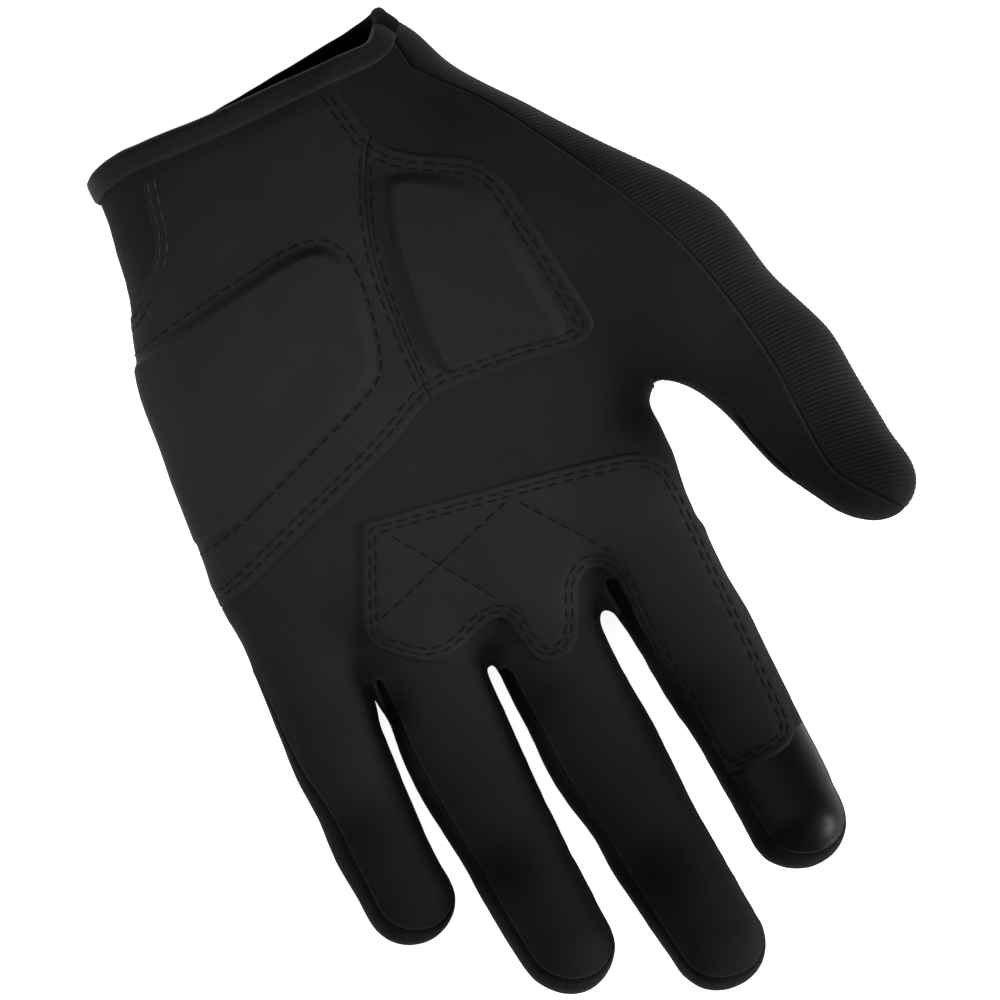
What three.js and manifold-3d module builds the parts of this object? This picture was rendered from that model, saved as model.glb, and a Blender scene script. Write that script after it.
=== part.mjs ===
// A left-hand motocross glove, laid on its back with the palm up.
// Millimetres, +Z up out of the palm, +Y toward the fingertips, thumb at -X.
// The form is lofted, hollowed to its wall and cut along the seams of the real sewing pattern.

import * as THREE from 'three';
import { mergeVertices } from 'three/addons/utils/BufferGeometryUtils.js';
import Module from 'manifold-3d';

const wasm = await Module();
wasm.setup();

// Driving dimensions

const gloveLength = 212;        // cuff edge to middle fingertip
const palmWidth = 97;           // across the knuckles
const palmDepth = 39;           // thickness of the filled hand at the cuff
const wall = 1.5;               // leather or knit with its lining
const gap = 0.3;                // clearance between neighbouring pieces
const restFlat = 0.5;           // how much is cut flat where the back lies on a table

const indexSetback = 14;        // how far each tip stays behind the middle fingertip
const ringSetback = 14.5;
const littleSetback = 39;
const thumbSetback = 69.5;

const indexWidth = 23.2;        // finger widths just past the web
const middleWidth = 22.6;
const ringWidth = 22.8;
const littleWidth = 19.6;
const thumbWidth = 36;          // across the ball of the thumb
const thumbDepth = 34;
const fingertipDome = 9.5;      // length of the rounded end of a finger
const thumbtipDome = 11;

const indexEnd = 41;            // each tip back to the hinge behind it
const middleEnd = 52;
const ringEnd = 45.5;
const littleEnd = 33;
const thumbEndLength = 34;
const flexHalf = 6.8;           // half of the band that bends over a finger joint
const thumbFlexHalf = 8.2;
const fingerHingeRise = 2.3;    // finger hinges lie this much nearer the palm than the middle

const sidePanelHeight = 9;      // height of the side strips between finger front and back
const bindingWidth = 4.2;       // tape folded over the cuff edge
const bindingThickness = 0.8;
const elasticLength = 16;       // stretch insert behind the cuff
const elasticWidth = 58;
const padRise = 2.6;            // how far a foam pad stands over the palm
const padCover = 0.9;           // leather over the foam
const padShoulder = 2.2;        // sloping border of a pad
const saddleThickness = 1;      // extra layer under the fingers
const touchPatchLength = 23;    // smooth end of the index finger
const webBow = 11.5;            // how much earlier the little finger's web starts
const overrun = 60;             // how far cutters stand past what they cut

const palmSides = 24;           // faces round each loft
const fingerSides = 12;
const thumbSides = 14;
const fingerRows = 7;           // steps along each loft
const thumbRows = 8;
const spinePoints = 9;          // points of a finger's spine after its first
const palmPower = 2.4;          // roundness of the palm side, 2 being an ellipse
const backPower = 3.1;          // the back is flatter
const fingerPower = 2.1;
const halfStep = 0.5;           // turns a ring by half of one face
const domeLiftShares = [0.42, 0.75, 0.97];

// Outlines as shares: across of palmWidth, along of gloveLength, deep of palmDepth

const palmRowShares = [
  // along, thumb side, little finger side, half depth
  [0, -0.37, 0.37, 0.5],
  [0.05, -0.39, 0.37, 0.5],
  [0.1, -0.415, 0.395, 0.495],
  [0.155, -0.45, 0.437, 0.49],
  [0.215, -0.475, 0.484, 0.48],
  [0.285, -0.505, 0.523, 0.462],
  [0.355, -0.53, 0.54, 0.435],
  [0.41, -0.53, 0.55, 0.405],
  [0.44, -0.495, 0.555, 0.385],
  [0.463, -0.452, 0.56, 0.365],
  [0.51, -0.44, 0.56, 0.33],
  [0.548, -0.433, 0.55, 0.298],
  [0.577, -0.427, 0.53, 0.246],
  [0.6, -0.412, 0.5, 0.17],
  [0.614, -0.38, 0.46, 0.08],
];
const midHeightShares = [
  // along, height of the middle surface
  [-0.3, 0.5],
  [0, 0.5],
  [0.1, 0.495],
  [0.2, 0.483],
  [0.3, 0.458],
  [0.4, 0.41],
  [0.5, 0.335],
  [0.58, 0.298],
  [0.66, 0.305],
  [0.74, 0.345],
  [0.82, 0.42],
  [0.9, 0.52],
  [1, 0.665],
  [1.3, 1.1],
];
const cuffEdgeShares = [
  // across, how far the palm side of the cuff is cut back
  [-0.372, 0],
  [-0.31, 0.018],
  [-0.26, 0.016],
  [-0.05, 0.007],
  [0.1, 0.001],
  [0.372, 0],
];
const indexSpineShares = [[-0.272, 0.43], [-0.295, 0.57], [-0.304, 0.71], [-0.305, 0.85], [-0.304, 1]];
const middleSpineShares = [[-0.01, 0.43], [-0.012, 0.6], [-0.009, 0.71], [-0.012, 0.85], [-0.02, 1.05]];
const ringSpineShares = [[0.21, 0.42], [0.246, 0.6], [0.259, 0.71], [0.263, 0.83], [0.258, 1]];
const littleSpineShares = [[0.425, 0.4], [0.474, 0.565], [0.503, 0.675], [0.513, 0.745], [0.51, 0.9]];
const fingerWidthShares = [
  // along the finger from its root to its tip, share of its width
  [0, 0.86],
  [0.34, 1],
  [0.5, 0.985],
  [0.62, 0.935],
  [0.8, 0.885],
  [1, 0.87],
];
const fingerDepthShare = 0.91;
const bowShares = { start: 0.3, full: 0.6, centre: -0.1, reach: 0.464 };
const cuffCutShares = { fade: 0.15, side: 0.33 };
const coreShare = 0.25;         // how far inside the form a cuff cutter's core lies
const stripRowShares = [0.46, 0.49, 0.51, 0.53, 0.56];
const stripStartShare = 0.47;
const thumbForkShare = -0.47;   // the thumb lies beyond this, the index finger before it
const mitreShare = 0.5;         // limit of a sharp corner's mitre
const foldShare = 0.95;         // shifted points nearer than this to the outline are dropped

const thumbSpineShares = [
  // across, along, deep
  [-0.2, 0.06, 0.5],
  [-0.37, 0.184, 0.52],
  [-0.575, 0.328, 0.56],
  [-0.677, 0.425, 0.64],
  [-0.738, 0.515, 0.73],
  [-0.766, 0.585, 0.8],
  [-0.815, 0.672, 0.88],
];
const thumbWidthShares = [
  [0, 0.78],
  [0.2, 1],
  [0.42, 1.03],
  [0.6, 0.86],
  [0.76, 0.73],
  [0.88, 0.66],
  [1, 0.6],
];
const thumbFlexRise = 0.62;     // the thumb folds this much upward for each unit across

// Seam lines and panel outlines, across and along
const thumbSeamShares = [
  [-0.28, -0.05], [-0.3, 0.025], [-0.317, 0.037], [-0.395, 0.088], [-0.455, 0.12], [-0.504, 0.161],
  [-0.551, 0.203], [-0.597, 0.246], [-0.64, 0.291], [-0.679, 0.34], [-0.705, 0.399], [-0.726, 0.483],
  [-0.72, 0.54], [-0.718, 0.6], [-0.748, 0.627], [-0.8, 0.66], [-0.9, 0.72],
];
const thumbBackShares = [[-0.34, -0.05], [-0.37, 0.14], [-0.42, 0.28], [-0.47, 0.41], [-0.5, 0.47], [-0.5, 0.8]];
const cuffToPadsShares = [[-0.186, -0.05], [-0.194, 0.036], [-0.196, 0.06], [-0.204, 0.085], [-0.208, 0.105]];
const betweenPadsShares = [
  [-0.187, 0.114], [-0.139, 0.152], [-0.103, 0.188], [-0.08, 0.227], [-0.067, 0.269], [-0.057, 0.311],
];
const padCornerShares = [[-0.051, 0.352]];
const belowHeelShares = [[0.049, 0.374], [0.224, 0.397], [0.367, 0.414], [0.512, 0.433], [0.66, 0.436]];
const wristSeamShares = [
  [0.66, 0.15], [0.436, 0.143], [0.409, 0.137], [0.36, 0.121], [0.328, 0.11], [0.296, 0.093],
  [0.273, 0.053], [0.243, 0.011], [0.23, -0.05],
];
const wristCornerShares = [[0.66, -0.05]];
const roundThenarShares = [
  [-0.142, 0.358], [-0.209, 0.363], [-0.299, 0.37], [-0.384, 0.381], [-0.431, 0.372], [-0.437, 0.357],
  [-0.431, 0.322], [-0.426, 0.276], [-0.416, 0.223], [-0.413, 0.202], [-0.393, 0.181], [-0.363, 0.166],
  [-0.317, 0.153], [-0.245, 0.131],
];
const heelFoamShares = [
  [0.426, 0.18], [0.297, 0.174], [0.169, 0.17], [0.066, 0.166], [-0.001, 0.171], [-0.032, 0.186],
  [-0.036, 0.207], [-0.026, 0.242], [-0.006, 0.276], [0.015, 0.302], [0.044, 0.314], [0.141, 0.328],
  [0.286, 0.347], [0.42, 0.366], [0.485, 0.36], [0.49, 0.28], [0.46, 0.21],
];
const thenarFoamShares = [
  [-0.184, 0.147], [-0.225, 0.148], [-0.315, 0.175], [-0.352, 0.197], [-0.37, 0.235], [-0.374, 0.288],
  [-0.383, 0.352], [-0.366, 0.367], [-0.31, 0.361], [-0.224, 0.351], [-0.153, 0.349], [-0.103, 0.346],
  [-0.091, 0.325], [-0.102, 0.28], [-0.119, 0.232], [-0.145, 0.188],
];
const saddleShares = [
  [0.206, 0.427], [0.036, 0.445], [-0.115, 0.462], [-0.265, 0.479], [-0.433, 0.503], [-0.433, 0.563],
  [-0.422, 0.623], [-0.416, 0.688], [-0.405, 0.758], [-0.4, 0.9], [-0.215, 0.9], [-0.209, 0.748],
  [-0.202, 0.693], [-0.203, 0.642], [-0.217, 0.59], [-0.18, 0.574], [-0.154, 0.577], [-0.129, 0.587],
  [-0.102, 0.614], [-0.077, 0.63], [-0.046, 0.639], [0, 0.638], [0.018, 0.632], [0.029, 0.62],
  [0.032, 0.583], [0.045, 0.574], [0.073, 0.572], [0.111, 0.577], [0.155, 0.583], [0.193, 0.584],
  [0.235, 0.578], [0.275, 0.561], [0.305, 0.545], [0.317, 0.53], [0.312, 0.515],
];

// Finishes

const finish = (color, roughness, metalness = 0) =>
  new THREE.MeshStandardMaterial({ color, roughness, metalness });
const suede = finish(0x1c1c1d, 0.82);
const pad = finish(0x1e1e1f, 0.78);
const overlay = finish(0x1a1a1b, 0.7);
const touch = finish(0x141415, 0.35);
const ribbed = finish(0x18181a, 0.9);
const stretch = finish(0x121213, 0.88);
const tape = finish(0x151516, 0.6);
const foam = finish(0x2b2b2d, 0.95);

// Small helpers

const across = (share) => share * palmWidth;
const along = (share) => share * gloveLength;
const deep = (share) => share * palmDepth;
const place = (rows) => rows.map(([x, y]) => new THREE.Vector2(across(x), along(y)));

function readTable(rows, at) {
  const last = rows.length - 1;
  if (at <= rows[0][0]) return rows[0][1];
  if (at >= rows[last][0]) return rows[last][1];
  const next = rows.findIndex((row) => row[0] > at);
  const [low, high] = [rows[next - 1], rows[next]];
  const part = (at - low[0]) / (high[0] - low[0]);
  return low[1] + part * (high[1] - low[1]);
}

const midHeight = (y) => deep(readTable(midHeightShares, y / gloveLength));
const cuffCut = (x) => along(readTable(cuffEdgeShares, x / palmWidth));

function solid(geometry) {
  const bare = geometry.clone();
  bare.deleteAttribute('normal');
  bare.deleteAttribute('uv');
  const merged = mergeVertices(bare);
  return new wasm.Manifold(new wasm.Mesh({
    numProp: 3,
    vertProperties: new Float32Array(merged.attributes.position.array),
    triVerts: new Uint32Array(merged.index.array),
  }));
}

// Faces between two rings of a list, each counterclockwise seen from the last ring
function facesBetween(low, high, count) {
  const faces = [];
  for (let i = 0; i < count; i += 1) {
    const next = (i + 1) % count;
    const [a, b] = [low * count + i, low * count + next];
    const [c, d] = [high * count + i, high * count + next];
    faces.push(a, b, d, a, d, c);
  }
  return faces;
}

function solidOfFaces(points, faces) {
  const geometry = new THREE.BufferGeometry().setFromPoints(points);
  geometry.setIndex(faces);
  return solid(geometry);
}

// Skins a row of rings and closes both ends
function skin(rings) {
  const count = rings[0].length;
  const points = rings.flat();
  const faces = [];
  for (let row = 0; row + 1 < rings.length; row += 1) faces.push(...facesBetween(row, row + 1, count));
  for (const [row, flip] of [[0, true], [rings.length - 1, false]]) {
    const hub = points.length;
    const middle = rings[row].reduce((sum, point) => sum.add(point), new THREE.Vector3());
    points.push(middle.divideScalar(count));
    for (let i = 0; i < count; i += 1) {
      const a = row * count + i;
      const b = row * count + (i + 1) % count;
      faces.push(...(flip ? [hub, b, a] : [hub, a, b]));
    }
  }
  return solidOfFaces(points, faces);
}

// Skins rings that come back to the first one, as a hoop with a shaped section
function hoop(rings) {
  const faces = rings.flatMap((ring, row) => facesBetween(row, (row + 1) % rings.length, ring.length));
  return solidOfFaces(rings.flat(), faces);
}

function powerPoint(turn, power) {
  const [c, s] = [Math.cos(turn), Math.sin(turn)];
  return [
    Math.sign(c) * Math.abs(c) ** (2 / power),
    Math.sign(s) * Math.abs(s) ** (2 / power),
  ];
}

// The palm: sections across the hand, bowed toward the webs, cut back at the palm side of the cuff
function palmRing([y, left, right, half], grow, extra = 0, phase = 0) {
  const ring = [];
  const centre = (left + right) / 2;
  const reach = (right - left) / 2;
  const fade = THREE.MathUtils.smoothstep(y, along(bowShares.start), along(bowShares.full));
  const nearCuff = 1 - THREE.MathUtils.smoothstep(y, 0, along(cuffCutShares.fade));
  for (let i = 0; i < palmSides; i += 1) {
    const turn = -((i + phase) / palmSides) * 2 * Math.PI;
    const power = Math.sin(turn) > 0 ? palmPower : backPower;
    const [c, s] = powerPoint(turn, power);
    const plainX = centre + reach * c;
    const bow = webBow * fade * ((plainX - across(bowShares.centre)) / across(bowShares.reach)) ** 2;
    const cut = s > 0 ? cuffCut(plainX) * nearCuff * Math.min(1, s / cuffCutShares.side) : 0;
    const height = midHeight(y) + (half + grow) * s;
    ring.push(new THREE.Vector3(plainX + grow * c, y - bow + cut + extra, height));
  }
  return ring;
}

const palmRows = palmRowShares.map(([y, left, right, half]) =>
  [along(y), across(left), across(right), deep(half)]);

// The section at any distance past the cuff edge, on the straight faces between two rows
function palmRingAt(distance, grow, phase = 0) {
  if (distance <= 0) return palmRing(palmRows[0], grow, distance, phase);
  const next = palmRows.findIndex((row) => row[0] > distance);
  const [low, high] = [palmRows[next - 1], palmRows[next]];
  const part = (distance - low[0]) / (high[0] - low[0]);
  const far = palmRing(high, grow, 0, phase);
  return palmRing(low, grow, 0, phase).map((point, i) => point.lerp(far[i], part));
}

// Cuts a solid back along the cuff edge, its faces turned half a step so that no corners meet
function cutAtCuff(from, distance) {
  const core = -deep(coreShare);
  return from.subtract(skin([
    palmRingAt(-overrun, core, halfStep),
    palmRingAt(-overrun, overrun, halfStep),
    palmRingAt(distance, overrun, halfStep),
    palmRingAt(distance, core, halfStep),
  ]));
}

function palmLoft(grow, openCuff) {
  const rings = palmRows.map((row) => palmRing(row, grow));
  if (openCuff) rings.unshift(palmRingAt(-overrun, grow));
  return skin(rings);
}

// A finger or the thumb: sections square to its spine, with a rounded end
function stall(spec, grow) {
  const { spine, widthAt, depthAt, dome, sides, steps } = spec;
  const rings = [];
  const addRing = (centre, forward, wide, tall) => {
    const side = new THREE.Vector3(1, 0, 0).addScaledVector(forward, -forward.x).normalize();
    const up = new THREE.Vector3().crossVectors(side, forward);
    const ring = [];
    for (let i = 0; i < sides; i += 1) {
      const turn = -(i / sides) * 2 * Math.PI;
      const [c, s] = powerPoint(turn, fingerPower);
      ring.push(centre.clone().addScaledVector(side, wide * c).addScaledVector(up, tall * s));
    }
    rings.push(ring);
  };
  const length = spine.getLength();
  const domeStart = 1 - dome / length;
  for (let i = 0; i <= steps; i += 1) {
    const at = (i / steps) * domeStart;
    addRing(spine.getPointAt(at), spine.getTangentAt(at), widthAt(at) / 2 + grow, depthAt(at) / 2 + grow);
  }
  const start = spine.getPointAt(domeStart);
  const forward = spine.getTangentAt(domeStart);
  for (const lift of domeLiftShares) {
    const round = Math.sqrt(1 - lift * lift);
    const centre = start.clone().addScaledVector(forward, (dome + grow) * lift);
    addRing(centre, forward, (widthAt(domeStart) / 2 + grow) * round,
      (depthAt(domeStart) / 2 + grow) * round);
  }
  return skin(rings);
}

// Fingers

function fingerSpec(name, spineShares, setback, width, endLength) {
  const reach = gloveLength - setback;
  const knuckle = reach - endLength;
  const rows = place(spineShares).map((point) => [point.y, point.x]);
  const root = rows[0][0];
  const points = [];
  for (let i = 0; i <= spinePoints; i += 1) {
    const y = root + (reach - root) * (i / spinePoints);
    points.push(new THREE.Vector3(readTable(rows, y), y, midHeight(y)));
  }
  const widthAt = (at) => width * readTable(fingerWidthShares, at);
  return {
    name,
    spine: new THREE.CatmullRomCurve3(points),
    widthAt,
    depthAt: (at) => widthAt(at) * fingerDepthShare,
    dome: fingertipDome,
    sides: fingerSides,
    steps: fingerRows,
    knuckle,
    centreX: readTable(rows, knuckle),
    reach,
    width,
  };
}

const fingers = [
  fingerSpec('index', indexSpineShares, indexSetback, indexWidth, indexEnd),
  fingerSpec('middle', middleSpineShares, 0, middleWidth, middleEnd),
  fingerSpec('ring', ringSpineShares, ringSetback, ringWidth, ringEnd),
  fingerSpec('little', littleSpineShares, littleSetback, littleWidth, littleEnd),
];

const thumbPoints = thumbSpineShares.map(([x, y, z]) => {
  const stretchTo = (gloveLength - thumbSetback) / along(thumbSpineShares.at(-1)[1]);
  return new THREE.Vector3(across(x), along(y) * stretchTo, deep(z));
});
const thumb = {
  name: 'thumb',
  spine: new THREE.CatmullRomCurve3(thumbPoints),
  widthAt: (at) => thumbWidth * readTable(thumbWidthShares, at),
  depthAt: (at) => thumbDepth * readTable(thumbWidthShares, at),
  dome: thumbtipDome,
  sides: thumbSides,
  steps: thumbRows,
};

// The whole form, grown or shrunk evenly, and the hollow shell
function form(grow, openCuff = false) {
  return [...fingers, thumb].reduce((whole, spec) => whole.add(stall(spec, grow)), palmLoft(grow, openCuff));
}

function prism(points, low, high) {
  const geometry = new THREE.ExtrudeGeometry(new THREE.Shape(points), {
    depth: high - low, bevelEnabled: false,
  });
  return solid(geometry.translate(0, 0, low));
}

const top = palmDepth + overrun;
const column = (points) => prism(points, -overrun, top);

// Moves an outline sideways; positive is to the right of its direction
function shifted(points, distance, closed = false) {
  const last = points.length - 1;
  return points.map((point, i) => {
    const before = points[i > 0 ? i - 1 : (closed ? last : 0)];
    const after = points[i < last ? i + 1 : (closed ? 0 : last)];
    const arrive = point.clone().sub(before).normalize();
    const leave = after.clone().sub(point).normalize();
    const step = arrive.add(leave).normalize();
    const slant = leave.lengthSq() > 0 ? Math.max(step.dot(leave), mitreShare) : 1;
    return new THREE.Vector2(point.x + step.y * distance / slant, point.y - step.x * distance / slant);
  });
}

function nearestToOutline(point, outline) {
  const reaches = outline.map((start, i) => {
    const edge = outline[(i + 1) % outline.length].clone().sub(start);
    const from = point.clone().sub(start);
    const part = THREE.MathUtils.clamp(from.dot(edge) / edge.lengthSq(), 0, 1);
    return from.addScaledVector(edge, -part).length();
  });
  return Math.min(...reaches);
}

// An area in plan, shrunk or grown, without the points that a tight corner would fold over
function grown(points, distance) {
  const turn = THREE.ShapeUtils.isClockWise(points) ? -distance : distance;
  const wanted = Math.abs(distance) * foldShare;
  return shifted(points, turn, true)
    .filter((point) => nearestToOutline(point, points) > wanted)
    .filter((point, i, kept) => point.distanceTo(kept[(i + 1) % kept.length]) > gap);
}

const box = (x0, x1, y0, y1, z0 = -overrun, z1 = top) => prism([
  new THREE.Vector2(x0, y0), new THREE.Vector2(x1, y0), new THREE.Vector2(x1, y1), new THREE.Vector2(x0, y1),
], z0, z1);

// A side profile (along, height) drawn out across the whole hand
const toSide = new THREE.Matrix4().makeBasis(
  new THREE.Vector3(0, 1, 0), new THREE.Vector3(0, 0, 1), new THREE.Vector3(1, 0, 0));
function drawnAcross(points) {
  const width = palmWidth + overrun + overrun;
  const geometry = new THREE.ExtrudeGeometry(new THREE.Shape(points), { depth: width, bevelEnabled: false });
  geometry.translate(0, 0, across(bowShares.centre) - width / 2).applyMatrix4(toSide);
  return solid(geometry);
}

// Half the height of the side strips: they start as a point behind the webs
function stripHalf(y) {
  const [first, last] = [stripRowShares[0], stripRowShares.at(-1)];
  return (sidePanelHeight / 2) * THREE.MathUtils.smoothstep(y, along(first), along(last));
}

const profileYs = [
  ...midHeightShares.map(([share]) => share)
    .filter((share) => share < stripRowShares[0] || share > stripRowShares.at(-1)),
  ...stripRowShares,
].sort((a, b) => a - b).map(along);
const alongMiddle = (lift) => profileYs.map((y) => new THREE.Vector2(y, midHeight(y) + lift(y)));
function above(lift) {
  const edge = alongMiddle(lift);
  return drawnAcross([...edge, new THREE.Vector2(edge.at(-1).x, top), new THREE.Vector2(edge[0].x, top)]);
}
function below(lift) {
  const edge = alongMiddle(lift);
  return drawnAcross([...edge, new THREE.Vector2(edge.at(-1).x, -overrun),
    new THREE.Vector2(edge[0].x, -overrun)]);
}
const frontSide = above((y) => stripHalf(y) + gap / 2);
const backSide = below((y) => -stripHalf(y) - gap / 2);
const stripSide = above((y) => -stripHalf(y) + gap / 2).intersect(below((y) => stripHalf(y) - gap / 2));

// Areas in plan

const farLeft = -palmWidth - overrun;
const thumbSeam = place(thumbSeamShares);
const leftOf = (line, distance) => {
  const edge = shifted(line, distance);
  return [...edge, new THREE.Vector2(farLeft, edge.at(-1).y), new THREE.Vector2(farLeft, edge[0].y)];
};
const heelArea = place([
  ...cuffToPadsShares, ...betweenPadsShares, ...padCornerShares, ...belowHeelShares, ...wristSeamShares,
]);
const thenarArea = place([...betweenPadsShares, ...padCornerShares, ...roundThenarShares]);
const wristArea = place([...wristSeamShares, ...wristCornerShares]);
const heelFoamArea = place(heelFoamShares);
const thenarFoamArea = place(thenarFoamShares);
const saddleArea = place(saddleShares);

// Shell and its main cuts

const outer = form(0);
const inner = form(-wall, true);
const edgeLength = gap + bindingThickness;
const tableCut = box(farLeft, -farLeft, -overrun, gloveLength + overrun, -overrun, restFlat);
const shell = cutAtCuff(outer.subtract(inner).subtract(tableCut), edgeLength);

const half = gap / 2;
const thumbFrame = (() => {
  const length = thumb.spine.getLength();
  const at = 1 - thumbEndLength / length;
  const point = thumb.spine.getPointAt(at);
  const forward = thumb.spine.getTangentAt(at);
  const fold = new THREE.Vector3(1, 0, thumbFlexRise);
  fold.addScaledVector(forward, -fold.dot(forward)).normalize();
  const axis = new THREE.Vector3().crossVectors(forward, fold).normalize();
  return { point, forward, fold, axis };
})();

// Everything past a distance from the thumb's hinge, measured along the thumb
function thumbPast(distance) {
  const reach = thumbWidth;
  const block = new THREE.BoxGeometry(reach + reach, overrun, reach + reach + reach);
  block.translate(0, overrun / 2 + distance, 0);
  const side = new THREE.Vector3().crossVectors(thumbFrame.forward, new THREE.Vector3(0, 0, 1)).normalize();
  const up = new THREE.Vector3().crossVectors(side, thumbFrame.forward);
  block.applyMatrix4(new THREE.Matrix4().makeBasis(side, thumbFrame.forward, up));
  block.translate(thumbFrame.point.x, thumbFrame.point.y, thumbFrame.point.z);
  return solid(block);
}

function fingerPast(finger, distance, shy = 0) {
  const side = (finger.width + gap) / 2 + shy;
  return box(finger.centreX - side, finger.centreX + side, finger.knuckle + distance,
    gloveLength + overrun);
}

const handShell = fingers.reduce(
  (rest, finger) => rest.subtract(fingerPast(finger, -flexHalf)),
  shell.subtract(thumbPast(-thumbFlexHalf)),
);

// Keeps the main body of a cut and drops the crumbs a seam line leaves
function mainBody(cut) {
  const bodies = cut.decompose();
  return bodies.reduce((best, body) => (body.volume() > best.volume() ? body : best), bodies[0]);
}

function piece(name, cut, material, origin = new THREE.Vector3()) {
  const { vertProperties, triVerts } = mainBody(cut).getMesh();
  const geometry = new THREE.BufferGeometry();
  geometry.setAttribute('position', new THREE.BufferAttribute(new Float32Array(vertProperties), 3));
  geometry.setIndex(new THREE.BufferAttribute(new Uint32Array(triVerts), 1));
  geometry.translate(-origin.x, -origin.y, -origin.z);
  geometry.computeVertexNormals();
  const mesh = new THREE.Mesh(geometry, material);
  mesh.name = name;
  return mesh;
}

// Palm side of the hand

const thumbBackLine = place(thumbBackShares);
const thumbBackPlan = (distance) => column(leftOf(thumbBackLine, distance));
const leftOfSeam = (distance) => column(leftOf(thumbSeam, distance));
const aboveThumb = (distance) => {
  const [first, last] = [thumbPoints[0], thumbPoints.at(-1)];
  const ridge = thumbPoints.map((point) => new THREE.Vector2(point.y, point.z + distance));
  ridge.unshift(new THREE.Vector2(-overrun, first.z + distance));
  ridge.push(new THREE.Vector2(gloveLength, last.z + distance));
  return drawnAcross([...ridge, new THREE.Vector2(gloveLength, top), new THREE.Vector2(-overrun, top)]);
};

const inThumb = handShell.intersect(thumbBackPlan(gap));
const thumbTop = inThumb.intersect(aboveThumb(half));
const handTop = handShell.subtract(thumbBackPlan(0)).intersect(frontSide);
const frontShell = handTop.add(thumbTop).subtract(leftOfSeam(half));

function domed(area) {
  return form(padRise / 2).intersect(column(area))
    .add(form(padRise).intersect(column(grown(area, -padShoulder))));
}

function paddedPanel(panelArea, foamArea) {
  const hollow = form(padRise - padCover).intersect(column(grown(foamArea, -padShoulder - padCover)));
  const cover = outer.intersect(column(grown(panelArea, -half))).add(domed(foamArea))
    .intersect(frontSide).subtract(leftOfSeam(half));
  const core = form(padRise - padCover - gap).intersect(frontSide)
    .intersect(column(grown(foamArea, -padShoulder - padCover - gap)));
  return {
    cover: cutAtCuff(cover.subtract(inner).subtract(hollow), edgeLength),
    core: core.subtract(inner),
  };
}
const heel = paddedPanel(heelArea, heelFoamArea);
const thenar = paddedPanel(thenarArea, thenarFoamArea);

const panelHoles = [heelArea, thenarArea, wristArea].reduce(
  (cut, area) => cut.subtract(column(grown(area, half))), frontShell);
const wristSide = frontShell.intersect(column(grown(wristArea, -half)));
const saddleLayer = form(gap + saddleThickness).subtract(form(gap)).intersect(column(saddleArea))
  .intersect(frontSide).subtract(fingerPast(fingers[0], -flexHalf, saddleThickness + gap));

// Back of the hand and its side strips

const elasticHalf = elasticWidth / 2;
const elasticEnd = bindingWidth + gap + elasticLength;
const elasticPlan = (grow) => box(-elasticHalf - grow, elasticHalf + grow, -overrun, elasticEnd + grow);
const handBack = handShell.subtract(thumbBackPlan(half)).intersect(backSide);
const backPanel = handBack.subtract(elasticPlan(half));
const elastic = handBack.intersect(elasticPlan(-half));
const thumbUnder = handShell.intersect(thumbBackPlan(-half)).subtract(aboveThumb(-half));
const thumbBack = thumbUnder.add(handShell.intersect(leftOfSeam(-half)).intersect(thumbBackPlan(-half)));

function strip(from, to) {
  return handShell.intersect(stripSide).intersect(box(from, to, along(stripStartShare), gloveLength));
}

// Cuff binding: a channel folded over the cuff edge

const bindingProfile = [
  // distance past the cuff edge, distance out from the glove's surface
  [0, -wall - gap - bindingThickness],
  [0, gap + bindingThickness],
  [bindingWidth, gap + bindingThickness],
  [bindingWidth, gap],
  [bindingThickness, gap],
  [bindingThickness, -wall - gap],
  [bindingWidth, -wall - gap],
  [bindingWidth, -wall - gap - bindingThickness],
];
const binding = hoop(bindingProfile.map(([distance, out]) => palmRingAt(distance, out))).subtract(tableCut);

// Assembly: the hand, then the five ends that bend on their own hinges

const glove = new THREE.Group();
const hand = new THREE.Group();
glove.add(hand);
const [indexX, middleX, ringX, littleX] = fingers.map((finger) => finger.centreX);
hand.add(
  piece('palm_panel', panelHoles, suede),
  piece('heel_pad_cover', heel.cover, pad),
  piece('heel_pad_foam', heel.core, foam),
  piece('thenar_pad_cover', thenar.cover.intersect(column(grown(thenarArea, -half))), pad),
  piece('thenar_pad_foam', thenar.core, foam),
  piece('wrist_side_panel', wristSide, suede),
  piece('saddle_reinforcement', saddleLayer, overlay),
  piece('back_panel', backPanel, stretch),
  piece('cuff_elastic', elastic, stretch),
  piece('thumb_back_panel', thumbBack, ribbed),
  piece('cuff_binding', binding, tape),
  piece('index_side_strip', strip(across(thumbForkShare), indexX), stretch),
  piece('index_middle_fourchette', strip(indexX, middleX), stretch),
  piece('middle_ring_fourchette', strip(middleX, ringX), stretch),
  piece('ring_little_fourchette', strip(ringX, littleX), stretch),
  piece('little_side_strip', strip(littleX, -farLeft), stretch),
);

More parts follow.
